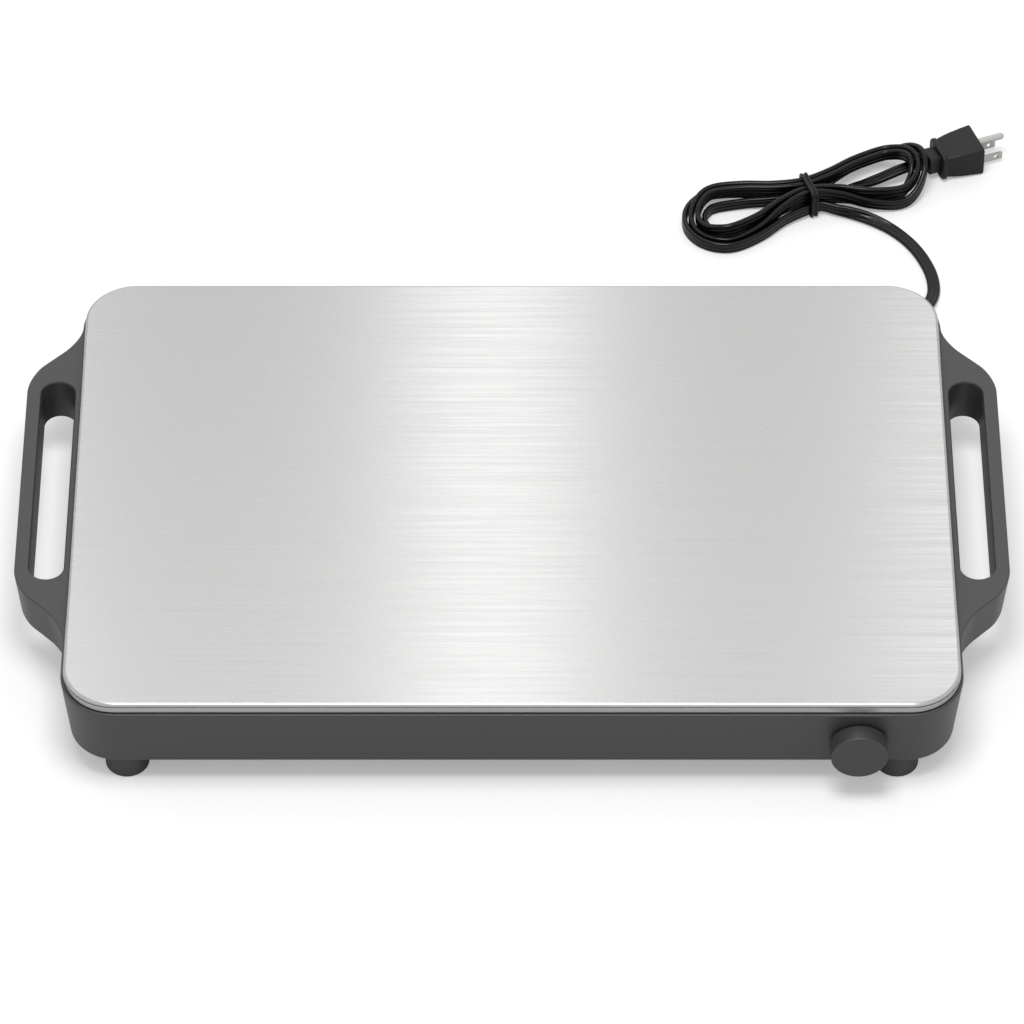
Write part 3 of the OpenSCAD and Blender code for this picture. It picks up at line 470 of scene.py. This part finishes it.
NODE_FINISH = {
    "rim_seal": seal_rubber,
    "base_cover": base_paint,
    "heat_spreader": sheet_aluminium,
    "heating_element": dull_sheath,
    "element_beads": white_ceramic,
    "reflector_pan": sheet_aluminium,
    "insulation_mat": glass_fibre,
    "thermostat_body": phenolic,
    "thermostat_bush": turned_brass,
    "earth_screw": turned_brass,
    "thermal_fuse": small_steel,
    "terminal_block": block_plastic,
    "switched_lead": red_wire,
    "live_lead": red_wire,
    "neutral_lead": white_wire,
    "earth_lead": green_wire,
    "cord_tail": cord_jacket,
    "cord_clamp": plug_moulding,
}
for name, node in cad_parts.items():
    node.data.materials.clear()
    node.data.materials.append(NODE_FINISH.get(name, small_steel))

# ---- Cord


def ease(x):
    return (1 - math.cos(math.pi * min(1, max(0, x)))) / 2


HANK_AT = (0.2075, 0.35297)
HANK_YAW = math.radians(19)
PLUG_YAW = math.radians(20.5)
PLUG_U, PLUG_V, PLUG_Z = 0.086, 0.0025, 0.012
HANK_HALF_L, LEFT_R, RIGHT_R = 0.089, 0.028, 0.02585
LOOP_STEP, WAIST_STEP = 0.0047, 0.00445
HALF_TURN = 12
RINGS = 7 * HALF_TURN
# Layer of the strand at every third ring: 0 lies on the floor, 1 on the strands below
LAYERS = [
    *(0, 0, 0, 0, 0, 0, 1.95, 0.1),
    *(1, 0.1, 0, 1, 1, 1, 1.7, 1),
    *(1, 1, 0.4, 1, 1, 1, 1.6, 0),
    *(0, 0, 0, 0, 0),
]
# Place beside the middle line, in steps, each time that the strand passes the tied waist
COLUMNS = [2.5, 1.5, 1.5, 1.5, 0.5, 0.5, 0.5, 0.5]
LAYER_H, WAIST_LIFT, FLOOR_GAP = CORD_W + 0.0006, 0.0024, 0.0002
REAR_Y = 0.19327
EXIT = (0.228, REAR_Y, 0.0295)
BOOT_END = (0.2357, REAR_Y + 0.0212, 0.0265)
BOOT_AHEAD = Vector((0.62, 0.75, -0.24)).normalized()
# Free stretch, in millimetres from the exit, and how far the flat cord is turned at each point
ROUTE = [
    (14, 27, 24),
    (21.5, 31, 20.6),
    (29.5, 34, 17.2),
    (37.5, 37, 13.8),
    (46, 41, 10.4),
    (55, 47, 6.8),
    (62, 55, 4.2),
    (66, 65, 2.6),
    (67.2, 75, 2.1),
    (66, 87, 2.1),
    (62.5, 99, 2.1),
    (57.2, 111, 2.1),
    (49.8, 122.5, 2.1),
    (40, 132.5, 2.8),
    (30, 139.3, 3.8),
    (20, 144, 4.8),
    (10.2, 147.2, 5.6),
    (0.8, 149.5, 6.4),
]
ROUTE_TWIST = [90] * 13 + [88, 80, 62, 40, 18, 4]


def on_floor(u, v, z):
    c, s = math.cos(HANK_YAW), math.sin(HANK_YAW)
    return spot(HANK_AT[0] + u * c - v * s, HANK_AT[1] + u * s + v * c, z)


def hank_height(layer, u):
    lift = WAIST_LIFT * (1 - ease(abs(u) / 0.06))
    return FLOOR_GAP + CORD_W / 2 + layer * LAYER_H + lift


def layer_at(ring):
    place = ring / 3
    low = min(int(place), len(LAYERS) - 2)
    return LAYERS[low] + (LAYERS[low + 1] - LAYERS[low]) * ease(place - low)


def waist_at(ring):
    return COLUMNS[int(ring / HALF_TURN + 0.5)] * WAIST_STEP


def hank_uv(ring):
    k = ring % (2 * HALF_TURN)
    left = k <= HALF_TURN
    radius = (LEFT_R if left else RIGHT_R) - ring // (2 * HALF_TURN) * LOOP_STEP
    end = -(HANK_HALF_L - LEFT_R) if left else HANK_HALF_L - RIGHT_R
    waist = waist_at(ring)
    front = -1 if k < 6 or k > 18 else 1
    quarter = k % HALF_TURN
    if 3 < quarter < 9:
        turn = math.radians((quarter - 3) * 30)
        way = -1 if left else 1
        return end + way * radius * math.sin(turn), way * radius * math.cos(turn)
    share = min(quarter, HALF_TURN - quarter) / 3
    return end * share, front * (waist + (radius - waist) * ease(share))


cord_points = [spot(*BOOT_END)]
cord_points += [spot(EXIT[0] + x / 1000, REAR_Y + y / 1000, z / 1000) for x, y, z in ROUTE]
cord_points.append(on_floor(0.009, -waist_at(0), hank_height(0, 0)))
cord_twist = ROUTE_TWIST + [0]
for ring in range(RINGS + 1):
    u, v = hank_uv(ring)
    cord_points.append(on_floor(u, v, hank_height(layer_at(ring), u)))
    cord_twist.append(0)
last_v = waist_at(RINGS)
for u in (0.014, 0.028, 0.042, 0.054, 0.064, 0.072, 0.080, PLUG_U):
    rise = (PLUG_Z - FLOOR_GAP - CORD_W / 2) * ease((u - 0.040) / 0.046)
    v = last_v + (PLUG_V - last_v) * ease(u / PLUG_U)
    cord_points.append(on_floor(u, v, hank_height(0, u) + rise))
    cord_twist.append(90 * ease((u - 0.008) / 0.050))


def fine_path(points, twists, spacing=0.003):
    """A smooth line through the points, with the twist at each of its own points."""
    path, turns = [], []
    for i in range(len(points) - 1):
        a, b = points[max(i - 1, 0)], points[i]
        c, d = points[i + 1], points[min(i + 2, len(points) - 1)]
        count = max(1, round((c - b).length / spacing))
        for k in range(count):
            t = k / count
            path.append(
                0.5
                * (
                    2 * b
                    + (c - a) * t
                    + (2 * a - 5 * b + 4 * c - d) * t * t
                    + (3 * b - a - 3 * c + d) * t * t * t
                )
            )
            low, high = sorted((b.z, c.z))
            path[-1].z = min(max(path[-1].z, low), high)
            turns.append(twists[i] + (twists[i + 1] - twists[i]) * ease(t))
    return path + [points[-1]], turns + [twists[-1]]


def swept(name, path, sections, turns, ends):
    """A closed tube along the path, with its section across it and turned about it."""
    verts, faces = [], []
    sides = len(sections[0])
    for i, point in enumerate(path):
        if i == 0:
            ahead = ends[0]
        elif i == len(path) - 1:
            ahead = ends[1]
        else:
            ahead = (path[i + 1] - path[i - 1]).normalized()
        across = Vector((0, 0, 1)).cross(ahead).normalized()
        up = ahead.cross(across)
        c, s = math.cos(math.radians(turns[i])), math.sin(math.radians(turns[i]))
        verts += [point + across * (x * c - y * s) + up * (x * s + y * c) for x, y in sections[i]]
    for i in range(len(path) - 1):
        for k in range(sides):
            a, b = i * sides + k, i * sides + (k + 1) % sides
            faces.append((a, b, b + sides, a + sides))
    faces.append(tuple(reversed(range(sides))))
    faces.append(tuple(range((len(path) - 1) * sides, len(path) * sides)))
    mesh = bpy.data.meshes.new(name)
    mesh.from_pydata(verts, [], faces)
    mesh.update()
    piece = bpy.data.objects.new(name, mesh)
    bpy.context.scene.collection.objects.link(piece)
    return piece


GROOVE_SHARE = 0.17  # depth of the grooves between the cores, of half the thickness


def three_core_section():
    """Three round cores side by side in one flat jacket, standing on edge."""
    half_t, core_at, core_r = CORD_T / 2, CORD_W / 3, CORD_W / 6
    heights = [core_at - 2 * core_at * i / 18 for i in range(19)]
    side = [
        (half_t * (1 - GROOVE_SHARE * math.sin(math.pi * y / core_at) ** 2), y) for y in heights
    ]
    turns = [math.pi * k / 12 for k in range(1, 12)]
    end = [(half_t * math.cos(a), core_r * math.sin(a)) for a in turns]
    shape = side + [(x, -core_at - y) for x, y in end]
    shape += [(-x, -y) for x, y in side] + [(-x, core_at + y) for x, y in end]
    return shape


cord_path, cord_turns = fine_path(cord_points, cord_twist)
plug_ahead = Vector((math.cos(PLUG_YAW), math.sin(PLUG_YAW), 0))
cord_section = three_core_section()
mains_cord = swept(
    "mains_cord",
    cord_path,
    [cord_section] * len(cord_path),
    cord_turns,
    (BOOT_AHEAD, plug_ahead),
)
outward(mains_cord)
take(mains_cord)
bpy.ops.object.shade_smooth_by_angle(angle=math.radians(50))
dress(mains_cord, cord_jacket, "tray", "cord", "cord_lead", "cord_hank")

# ---- Strain relief, bent with the cord

relief_line = [
    EXIT,
    (EXIT[0], REAR_Y + 0.0024, EXIT[2]),
    (EXIT[0] + 0.0009, REAR_Y + 0.0076, EXIT[2]),
    (EXIT[0] + 0.0035, REAR_Y + 0.0148, EXIT[2] - 0.001),
    BOOT_END,
]
relief_path, relief_turns = fine_path([spot(*p) for p in relief_line], [0] * 5, 0.0006)
relief_length = sum((b - a).length for a, b in zip(relief_path, relief_path[1:]))


def relief_radius(run):
    """Radius at a distance from the wall: a flange, then a taper with grooves."""
    if run < 0.0024:
        return 0.0085 - 0.0006 * max(0, run - 0.0018) / 0.0006
    taper = 0.0064 - 0.0012 * run / relief_length
    groove = run > 0.0055 and (run - 0.0055) % 0.0036 > 0.0022
    return taper - (0.0009 if groove else 0)


def circle_section(radius, sides=32):
    return [
        (radius * math.cos(math.tau * k / sides), radius * math.sin(math.tau * k / sides))
        for k in range(sides)
    ]


run, relief_sections = 0.0, []
for i, point in enumerate(relief_path):
    run += (point - relief_path[i - 1]).length if i else 0
    relief_sections.append(circle_section(relief_radius(run)))
relief_sleeve = swept(
    "strain_relief_sleeve",
    relief_path,
    relief_sections,
    relief_turns,
    (Vector((0, 1, 0)), BOOT_AHEAD),
)
outward(relief_sleeve)
smooth(relief_sleeve, 40)
dress(relief_sleeve, plug_moulding, "tray", "relief", "strain_relief")

# ---- Tie round the hank

TIE_HALF, TIE_LOW, TIE_TOP, TIE_T, TIE_W = 0.0114, 0.0023, 0.0216, 0.0022, 0.005
TIE_MID = (TIE_LOW + TIE_TOP) / 2
TIE_AT_V = 0.0002 - WAIST_STEP / 2
TIE_RIDGE = 0.0005
# The outside goes along the band's width over two ridges with a groove between them
tie_half = (
    TIE_HALF + TIE_T - TIE_RIDGE,
    (TIE_TOP - TIE_LOW) / 2 + TIE_T - TIE_RIDGE,
)
cord_tie_band = rounded_sheet("cord_tie_band", tie_half, 0.0042, (0, 0, 0), 8)
for inwards, along in (
    *((-0.0004, 0.0003), (-0.0001, 0.0006), (0.0001, 0.0006), (0.0004, 0.0003)),
    *((0.0003, 0.0001), (0.0, 0.0012), (-0.0003, 0.0001)),
    *((-0.0004, 0.0003), (-0.0001, 0.0006), (0.0001, 0.0006), (0.0004, 0.0003)),
):
    push(z=along)
    widen(-inwards, tie_half, (0, 0, 0))
cap(cord_tie_band)
close_up()
tie_hole = rounded_sheet("tie_hole", (TIE_HALF, (TIE_TOP - TIE_LOW) / 2), 0.002, (0, 0, -0.001), 8)
push(z=TIE_W + 0.002)
cap(tie_hole)
close_up()
for part in (cord_tie_band, tie_hole):
    outward(part)
combine(cord_tie_band, tie_hole, "DIFFERENCE")
cord_tie_band.matrix_world = (
    Matrix.Translation(on_floor(0.002 - TIE_W / 2, TIE_AT_V, TIE_MID))
    @ Matrix.Rotation(math.pi / 2 + HANK_YAW, 4, "Z")
    @ Matrix.Rotation(math.pi / 2, 4, "X")
)
settle(cord_tie_band)
outward(cord_tie_band)
smooth(cord_tie_band, 50)
dress(cord_tie_band, tie_rubber, "tray", "tie", "cord_tie")

# ---- Plug

plug_place = (
    Matrix.Translation(on_floor(PLUG_U, PLUG_V, PLUG_Z))
    @ Matrix.Rotation(PLUG_YAW, 4, "Z")
    @ Matrix.Rotation(math.pi / 2, 4, "Z")
    @ Matrix.Rotation(math.pi / 2, 4, "X")
)
RINGS_L, NECK_L, COLLAR_L, BODY_L = 0.007, 0.008, 0.004, 0.027
COLLAR_AT = RINGS_L + NECK_L
BODY_AT = COLLAR_AT + COLLAR_L
FACE_AT = BODY_AT + BODY_L
RING_PITCH, GROOVE_R = RINGS_L / 3, 0.0047

# Three rings behind the neck, each wider than the last
plug_tail = round_sheet("plug_tail", GROOVE_R, (0, 0, 0), vertices=48)
for ring_r in (0.0055, 0.0059, 0.0063):
    turned_to = GROOVE_R
    for along, radius in (
        (0.0002, GROOVE_R),
        (0.0001, ring_r - 0.0004),
        (0.0002, ring_r - 0.0001),
        (0.0003, ring_r),
        (0.0005, ring_r),
        (0.0003, ring_r - 0.0001),
        (0.0002, ring_r - 0.0004),
        (0.0001, GROOVE_R),
        (RING_PITCH - 0.0019, GROOVE_R),
    ):
        push(z=along)
        bpy.ops.transform.resize(
            value=(radius / turned_to, radius / turned_to, 1), center_override=(0, 0, 0)
        )
        turned_to = radius
push(z=0.002)
close_up()


def tapered_block(name, start, corner, levels):
    """A block with round corners that follows the half widths and heights along the plug."""
    first, (x, y) = start
    piece = rounded_sheet(name, (x, y), corner, (0, 0, first), 6)
    for z, half_x, half_y in levels:
        push(z=z - first)
        bpy.ops.transform.resize(value=(half_x / x, half_y / y, 1), center_override=(0, 0, 0))
        first, x, y = z, half_x, half_y
    close_up()
    return piece


plug_neck = tapered_block(
    "plug_neck",
    (RINGS_L, (0.0071, 0.0069)),
    0.0030,
    [(RINGS_L + 0.0006, 0.00775, 0.0075), (COLLAR_AT + 0.001, 0.00775, 0.0075)],
)
plug_collar = tapered_block(
    "plug_collar",
    (COLLAR_AT, (0.0122, 0.0103)),
    0.0046,
    [
        (COLLAR_AT + 0.0003, 0.0128, 0.0108),
        (COLLAR_AT + 0.0010, 0.0132, 0.01115),
        (COLLAR_AT + 0.0030, 0.0132, 0.01115),
        (COLLAR_AT + 0.0037, 0.0128, 0.0108),
        (BODY_AT, 0.0122, 0.0102),
    ],
)
plug_body_block = tapered_block(
    "plug_moulded_body",
    (BODY_AT - 0.0005, (0.0115, 0.0088)),
    0.0019,
    [
        (BODY_AT + 0.0020, 0.01215, 0.00935),
        (BODY_AT + 0.0060, 0.01290, 0.01005),
        (BODY_AT + 0.0110, 0.01355, 0.01070),
        (BODY_AT + 0.0165, 0.01405, 0.01125),
        (BODY_AT + 0.0220, 0.01455, 0.01170),
        (FACE_AT - 0.0008, 0.01480, 0.01195),
        (FACE_AT - 0.0002, 0.01455, 0.01170),
        (FACE_AT, 0.01415, 0.01125),
    ],
)
for part in (plug_tail, plug_neck, plug_collar, plug_body_block):
    open_up(part, "FACE")
    cap(part)
    close_up()
    outward(part)
take(plug_body_block)
for part in (plug_tail, plug_neck, plug_collar):
    part.select_set(True)
bpy.ops.object.join()
plug_body_block.matrix_world = plug_place
settle(plug_body_block)
smooth(plug_body_block, 40)
dress(plug_body_block, plug_moulding, "tray", "plug", "plug_body")

BLADE_GAP, BLADE_W, BLADE_T, BLADE_L = 0.0127, 0.00635, 0.0015, 0.0175
BLADE_DOWN, EARTH_UP, EARTH_L = 0.0054, 0.0065, 0.0207


def blade(name, side):
    bpy.ops.object.select_all(action="DESELECT")
    bpy.ops.mesh.primitive_cube_add(
        size=1, location=(side * BLADE_GAP / 2, -BLADE_DOWN, FACE_AT + BLADE_L / 2)
    )
    piece = named(name)
    piece.scale = (BLADE_T, BLADE_W, BLADE_L)
    settle(piece)
    open_up(piece, "EDGE")
    pick(
        piece,
        "EDGE",
        lambda e: level(FACE_AT + BLADE_L)(e) and abs(e.verts[0].co.y - e.verts[1].co.y) < 1e-6,
    )
    bpy.ops.mesh.bevel(offset=0.0013, segments=3)
    close_up()
    bpy.ops.object.select_all(action="DESELECT")
    bpy.ops.mesh.primitive_cylinder_add(
        vertices=32,
        radius=0.0016,
        depth=0.004,
        location=(side * BLADE_GAP / 2, -BLADE_DOWN, FACE_AT + BLADE_L - 0.0050),
        rotation=(0, math.pi / 2, 0),
    )
    combine(piece, named("hole"), "DIFFERENCE")
    soften(piece, 0.00018, 2, 40)
    return piece


plug_blade_pair = blade("plug_blade_pair", -1)
other_blade = blade("other_blade", 1)
take(plug_blade_pair)
other_blade.select_set(True)
bpy.ops.object.join()
plug_blade_pair.matrix_world = plug_place
settle(plug_blade_pair)
smooth(plug_blade_pair)
dress(plug_blade_pair, bright_pins, "tray", "pins", "plug_blades")

earth_prong = round_sheet("plug_earth_prong", 0.0024, (0, EARTH_UP, FACE_AT), vertices=40)
push(z=EARTH_L - 0.0022)
for inwards, along in ((0.0002, 0.0009), (0.0004, 0.0007), (0.0006, 0.0004), (0.0002, 0.0002)):
    step(inwards, along)
step(0.0003, -0.0012)
cap(earth_prong)
close_up()
earth_prong.matrix_world = plug_place
settle(earth_prong)
outward(earth_prong)
smooth(earth_prong, 50)
dress(earth_prong, bright_pins, "tray", "pins", "plug_earth_pin")

# ---- Warming plate: a pressed sheet with a turned-down lip and a crease below its rounded edge

plate = rounded_sheet("warming_plate", PLATE_HALF, PLATE_CORNER, spot(0, 0, LIP_Z), 20)
step(SHEET, 0)
push(z=TOP_Z - LIP_Z - SHEET)
pick(plate, "EDGE", lambda edge: edge.is_boundary)
push(z=0.0040)
crease_at = spot(0, 0, LIP_Z)
push(z=0.0001)
widen(-0.0007, PLATE_HALF, crease_at)
push(z=0.0007)
push(z=0.0001)
widen(0.0006, PLATE_HALF, crease_at)
push(z=0.0003)
lid(plate)
for inwards, along in (
    (0.0001, 0.0005),
    (0.0003, 0.0005),
    (0.0005, 0.0004),
    (0.0006, 0.0003),
    (0.0006, 0.0001),
):
    step(inwards, along)
close_up()
outward(plate)
smooth(plate, 50)
# The brushing runs along X, so the shine is stretched across it, down over the lip too
across_brushing = plate.data.uv_layers.new(name="across_brushing")
for loop in plate.data.loops:
    x, y, z = plate.data.vertices[loop.vertex_index].co
    across_brushing.data[loop.index].uv = (y + z, x + z / 2)
dress(plate, plate_steel, "tray", "top_plate", "top_plate")

# ---- Housing with its two handles, moulded in one piece


def housing_outline():
    """The outline at the rim: a round-cornered rectangle that swells into the two handles."""
    tray_x, reach = RIM_HALF[0], 0.035
    bar_half, root_half = 0.0974, 0.1324
    bpy.ops.object.select_all(action="DESELECT")
    bpy.ops.mesh.primitive_plane_add(size=1, location=spot(0, HANDLE_Y, RIM_Z))
    piece = named("tray_housing")
    piece.scale = (2 * tray_x, 2 * root_half, 1)
    settle(piece)
    middle = spot(0, HANDLE_Y, RIM_Z)
    open_up(piece, "EDGE")
    for side in (-1, 1):
        pick(piece, "EDGE", lambda e: all(abs(v.co.x - side * tray_x) < 1e-5 for v in e.verts))
        push(x=side * reach)
        bpy.ops.transform.resize(value=(1, bar_half / root_half, 1), center_override=middle)
    for side in (-1, 1):
        edge_y = middle.y + side * root_half
        pick(
            piece,
            "EDGE",
            lambda e: all(
                abs(v.co.y - edge_y) < 1e-5 and abs(v.co.x) < tray_x + 1e-5 for v in e.verts
            ),
        )
        push(y=ORIGIN_SHIFT + side * RIM_HALF[1] - edge_y)
    pick(piece, "FACE", lambda face: True)
    bpy.ops.mesh.dissolve_faces()

    def corner(test, offset, steps):
        pick(piece, "VERT", test)
        bpy.ops.mesh.bevel(offset=offset, segments=steps, affect="VERTICES")

    corner(lambda v: abs(abs(v.co.y - ORIGIN_SHIFT) - RIM_HALF[1]) < 1e-5, RIM_CORNER, 16)
    corner(lambda v: abs(abs(v.co.x) - tray_x - reach) < 1e-5, 0.0149, 10)
    corner(
        lambda v: abs(abs(v.co.x) - tray_x) < 1e-5
        and abs(abs(v.co.y - middle.y) - root_half) < 1e-5,
        0.0174,
        10,
    )
    pick(piece, "FACE", lambda face: True)
    return piece


def going_down(piece, levels):
    """Insets the selected face and lowers it, level by level, from the height it has."""
    for inwards, down in levels:
        step(inwards, -down)


# The wall leans in from the rim down; below the handles only the tray's own outline goes on
housing = housing_outline()
handle_foot = RIM_Z - HANDLE_H
going_down(housing, [(WALL_LEAN * HANDLE_H, HANDLE_H)])
under_x = RIM_HALF[0] - WALL_LEAN * HANDLE_H
for side in (-1, 1):
    pick(housing, "FACE", level(handle_foot))
    bpy.ops.mesh.bisect(
        plane_co=(side * under_x, 0, handle_foot), plane_no=(side, 0, 0), threshold=0.00003
    )
pick(housing, "VERT", lambda v: abs(v.co.z - handle_foot) < 1e-6)
bpy.ops.mesh.remove_doubles(threshold=0.00015)
pick(
    housing,
    "FACE",
    lambda f: level(handle_foot)(f)
    and abs(f.calc_center_median().x) < 0.1
    and f.calc_area() > 0.05,
)
BOTTOM_R = 0.0032
to_round = handle_foot - BASE_Z - BOTTOM_R
going_down(housing, [(WALL_LEAN * to_round, to_round)])
last_turn = 0.0
for degrees in (18, 36, 54, 72, 90):
    turn = math.radians(degrees)
    going_down(
        housing,
        [
            (
                BOTTOM_R * (math.cos(last_turn) - math.cos(turn)) + 0.00006,
                BOTTOM_R * (math.sin(turn) - math.sin(last_turn)),
            )
        ],
    )
    last_turn = turn
cap(housing, lambda e: e.is_boundary and level(RIM_Z)(e))
pick(housing, "EDGE", lambda e: level(RIM_Z)(e))
bpy.ops.mesh.bevel(offset=0.0013, segments=4, offset_type="OFFSET")
close_up()
outward(housing)

# Its inside, the opening that the plate covers, and the finger slots
cavity = rounded_sheet("cavity", (0.289, 0.193), 0.033, spot(0, 0, 0.065), 12)
going_down(cavity, [(0.0058, 0.0466)])
cap(cavity)
close_up()
outward(cavity)
combine(housing, cavity, "DIFFERENCE")
opening = rounded_sheet("opening", (0.281, 0.185), 0.025, spot(0, 0, 0.072), 12)
push(z=-0.012)
cap(opening)
close_up()
outward(opening)
combine(housing, opening, "DIFFERENCE")

SLOT_HALF = (0.0114, 0.0912)
for side in (-1, 1):
    slot_at = spot(side * (RIM_HALF[0] + 0.0024 + SLOT_HALF[0]), HANDLE_Y, RIM_Z + 0.0004)
    flare = (SLOT_HALF[0] + 0.0013, SLOT_HALF[1] + 0.0013)
    slot_cutter = rounded_sheet("slot_cutter", flare, flare[0] - 0.0002, slot_at, 12)
    going_down(
        slot_cutter,
        [(0.0006, 0.0005), (0.0004, 0.0005), (0.0002, 0.0005), (0.0001, 0.0005), (0.0006, 0.033)],
    )
    cap(slot_cutter)
    close_up()
    outward(slot_cutter)
    combine(housing, slot_cutter, "DIFFERENCE")

# Flat round seats on the leaning wall for the knob and the strain relief
for name, x, y, z, radius, length in (
    ("knob_seat", KNOB_X, -0.1954, KNOB_Z, 0.0165, 0.005),
    ("cord_seat", EXIT[0], REAR_Y - 0.004, EXIT[2], 0.010, 0.004),
):
    bpy.ops.object.select_all(action="DESELECT")
    bpy.ops.mesh.primitive_cylinder_add(
        vertices=64,
        radius=radius,
        depth=length,
        location=spot(x, y + length / 2, z),
        rotation=(math.pi / 2, 0, 0),
    )
    seat = named(name)
    settle(seat)
    combine(housing, seat, "UNION")
outward(housing)
smooth(housing, 32)
dress(housing, charcoal, "tray", "housing", "housing")

# ---- Knob

knob_back = spot(KNOB_X, -0.1958, KNOB_Z)
# A narrow neck at the wall, the round body with a softened edge, and the hollow behind
knob_growth = KNOB_R / KNOB_NECK_R
knob_cap = round_sheet("control_knob_cap", KNOB_NECK_R, knob_back, (math.pi / 2, 0, 0), 96)
push(y=-0.0010)
push(y=-0.0002)
bpy.ops.transform.resize(value=(knob_growth, 1, knob_growth), center_override=knob_back)
step(0.0006, 0.0102)
for inwards, along in ((0.0001, 0.0004), (0.0002, 0.0003), (0.0003, 0.0002), (0.0004, 0.0001)):
    step(inwards, along)
step(0.0012, 0.0)
cap(knob_cap)
step(0.002, 0.0)
step(0.0002, -0.0092)
step(0.0102, 0.0)
step(0.0001, 0.0091)
step(0.0027, 0.0)
step(0.00005, -0.0085)
close_up()
outward(knob_cap)
smooth(knob_cap, 40)
dress(knob_cap, knob_plastic, "knob", "knob", "control_knob")

# ---- Feet


def foot(name, x, y):
    bpy.ops.object.select_all(action="DESELECT")
    bpy.ops.mesh.primitive_cylinder_add(
        vertices=64, radius=FOOT_R, depth=BASE_Z, location=spot(x, y, BASE_Z / 2)
    )
    piece = named(name)
    settle(piece)
    open_up(piece, "EDGE")
    pick(piece, "EDGE", level(0))
    bpy.ops.mesh.bevel(offset=0.0014, segments=4)
    pick(piece, "FACE", lambda f: level(0)(f) and len(f.verts) > 8)
    step(0.0058, 0.0)
    step(0.0003, -0.006)
    close_up()
    outward(piece)
    smooth(piece, 40)
    return piece


for (x, y), node in zip(FOOT_AT, ("front_left", "front_right", "rear_left", "rear_right")):
    dress(foot("rubber_foot_" + node, x, y), foot_rubber, "tray", "feet", "foot_" + node)

# ---- Floor, background and light

bpy.ops.object.select_all(action="DESELECT")
bpy.ops.mesh.primitive_plane_add(size=60, location=(0, 0, 0))
floor = named("studio_floor")
settle(floor)
floor_paint = bpy.data.materials.new("white_floor")
floor_paint.use_nodes = True
tree = floor_paint.node_tree
paint = tree.nodes["Principled BSDF"]
set_inputs(paint, {"Base Color": (0.8, 0.8, 0.8, 1), "Roughness": 1.0, "Specular IOR Level": 0.0})
# The camera sees the floor a little whiter than it is lit, and its shadow stays
glow = add_node(tree, "ShaderNodeEmission", None, {"Color": (1, 1, 1, 1), "Strength": 1.0})
seen = tree.nodes.new("ShaderNodeLightPath")
share = arithmetic(tree, "MULTIPLY", seen.outputs["Is Camera Ray"], 0.3)
blend = tree.nodes.new("ShaderNodeAddShader")
tree.links.new(share, glow.inputs["Strength"])
tree.links.new(paint.outputs[0], blend.inputs[0])
tree.links.new(glow.outputs[0], blend.inputs[1])
tree.links.new(blend.outputs[0], tree.nodes["Material Output"].inputs["Surface"])
floor.data.materials.append(floor_paint)

world = bpy.data.worlds.new("white_studio")
bpy.context.scene.world = world
world.use_nodes = True
tree = world.node_tree
tree.nodes["Background"].inputs["Color"].default_value = (0.52, 0.52, 0.53, 1)
white = add_node(tree, "ShaderNodeBackground", None, {"Color": (1, 1, 1, 1), "Strength": 1.0})
seen = tree.nodes.new("ShaderNodeLightPath")
either = arithmetic(tree, "MAXIMUM", seen.outputs["Is Camera Ray"], seen.outputs["Is Glossy Ray"])
either = arithmetic(tree, "MAXIMUM", either, seen.outputs["Is Transmission Ray"])
blend = tree.nodes.new("ShaderNodeMixShader")
tree.links.new(either, blend.inputs[0])
tree.links.new(tree.nodes["Background"].outputs[0], blend.inputs[1])
tree.links.new(white.outputs[0], blend.inputs[2])
tree.links.new(blend.outputs[0], tree.nodes["World Output"].inputs["Surface"])


def lamp(name, place, aim, size, power):
    """A soft rectangular lamp at a place, pointed at another."""
    light = bpy.data.lights.new(name, "AREA")
    light.shape = "RECTANGLE"
    light.size, light.size_y = size
    light.energy = power
    holder = bpy.data.objects.new(name, light)
    holder.location = place
    holder.rotation_euler = (Vector(aim) - Vector(place)).to_track_quat("-Z", "Y").to_euler()
    bpy.context.scene.collection.objects.link(holder)


middle = (0, ORIGIN_SHIFT, TOP_Z)
lamp("key_light", (-0.06, -0.45, 2.6), middle, (1.0, 1.0), 34)
# Narrow lamps that the plate mirrors as soft bands, each across the plate point that it aims at
for name, x, power in (("middle", -0.02, 1.43), ("right", 0.475, 1.1), ("left", -0.56, 1.1)):
    aim = (x * 0.66, ORIGIN_SHIFT, TOP_Z)
    lamp("plate_sheen_" + name, (x, 1.533, 1.66), aim, (0.16, 2.2), power)
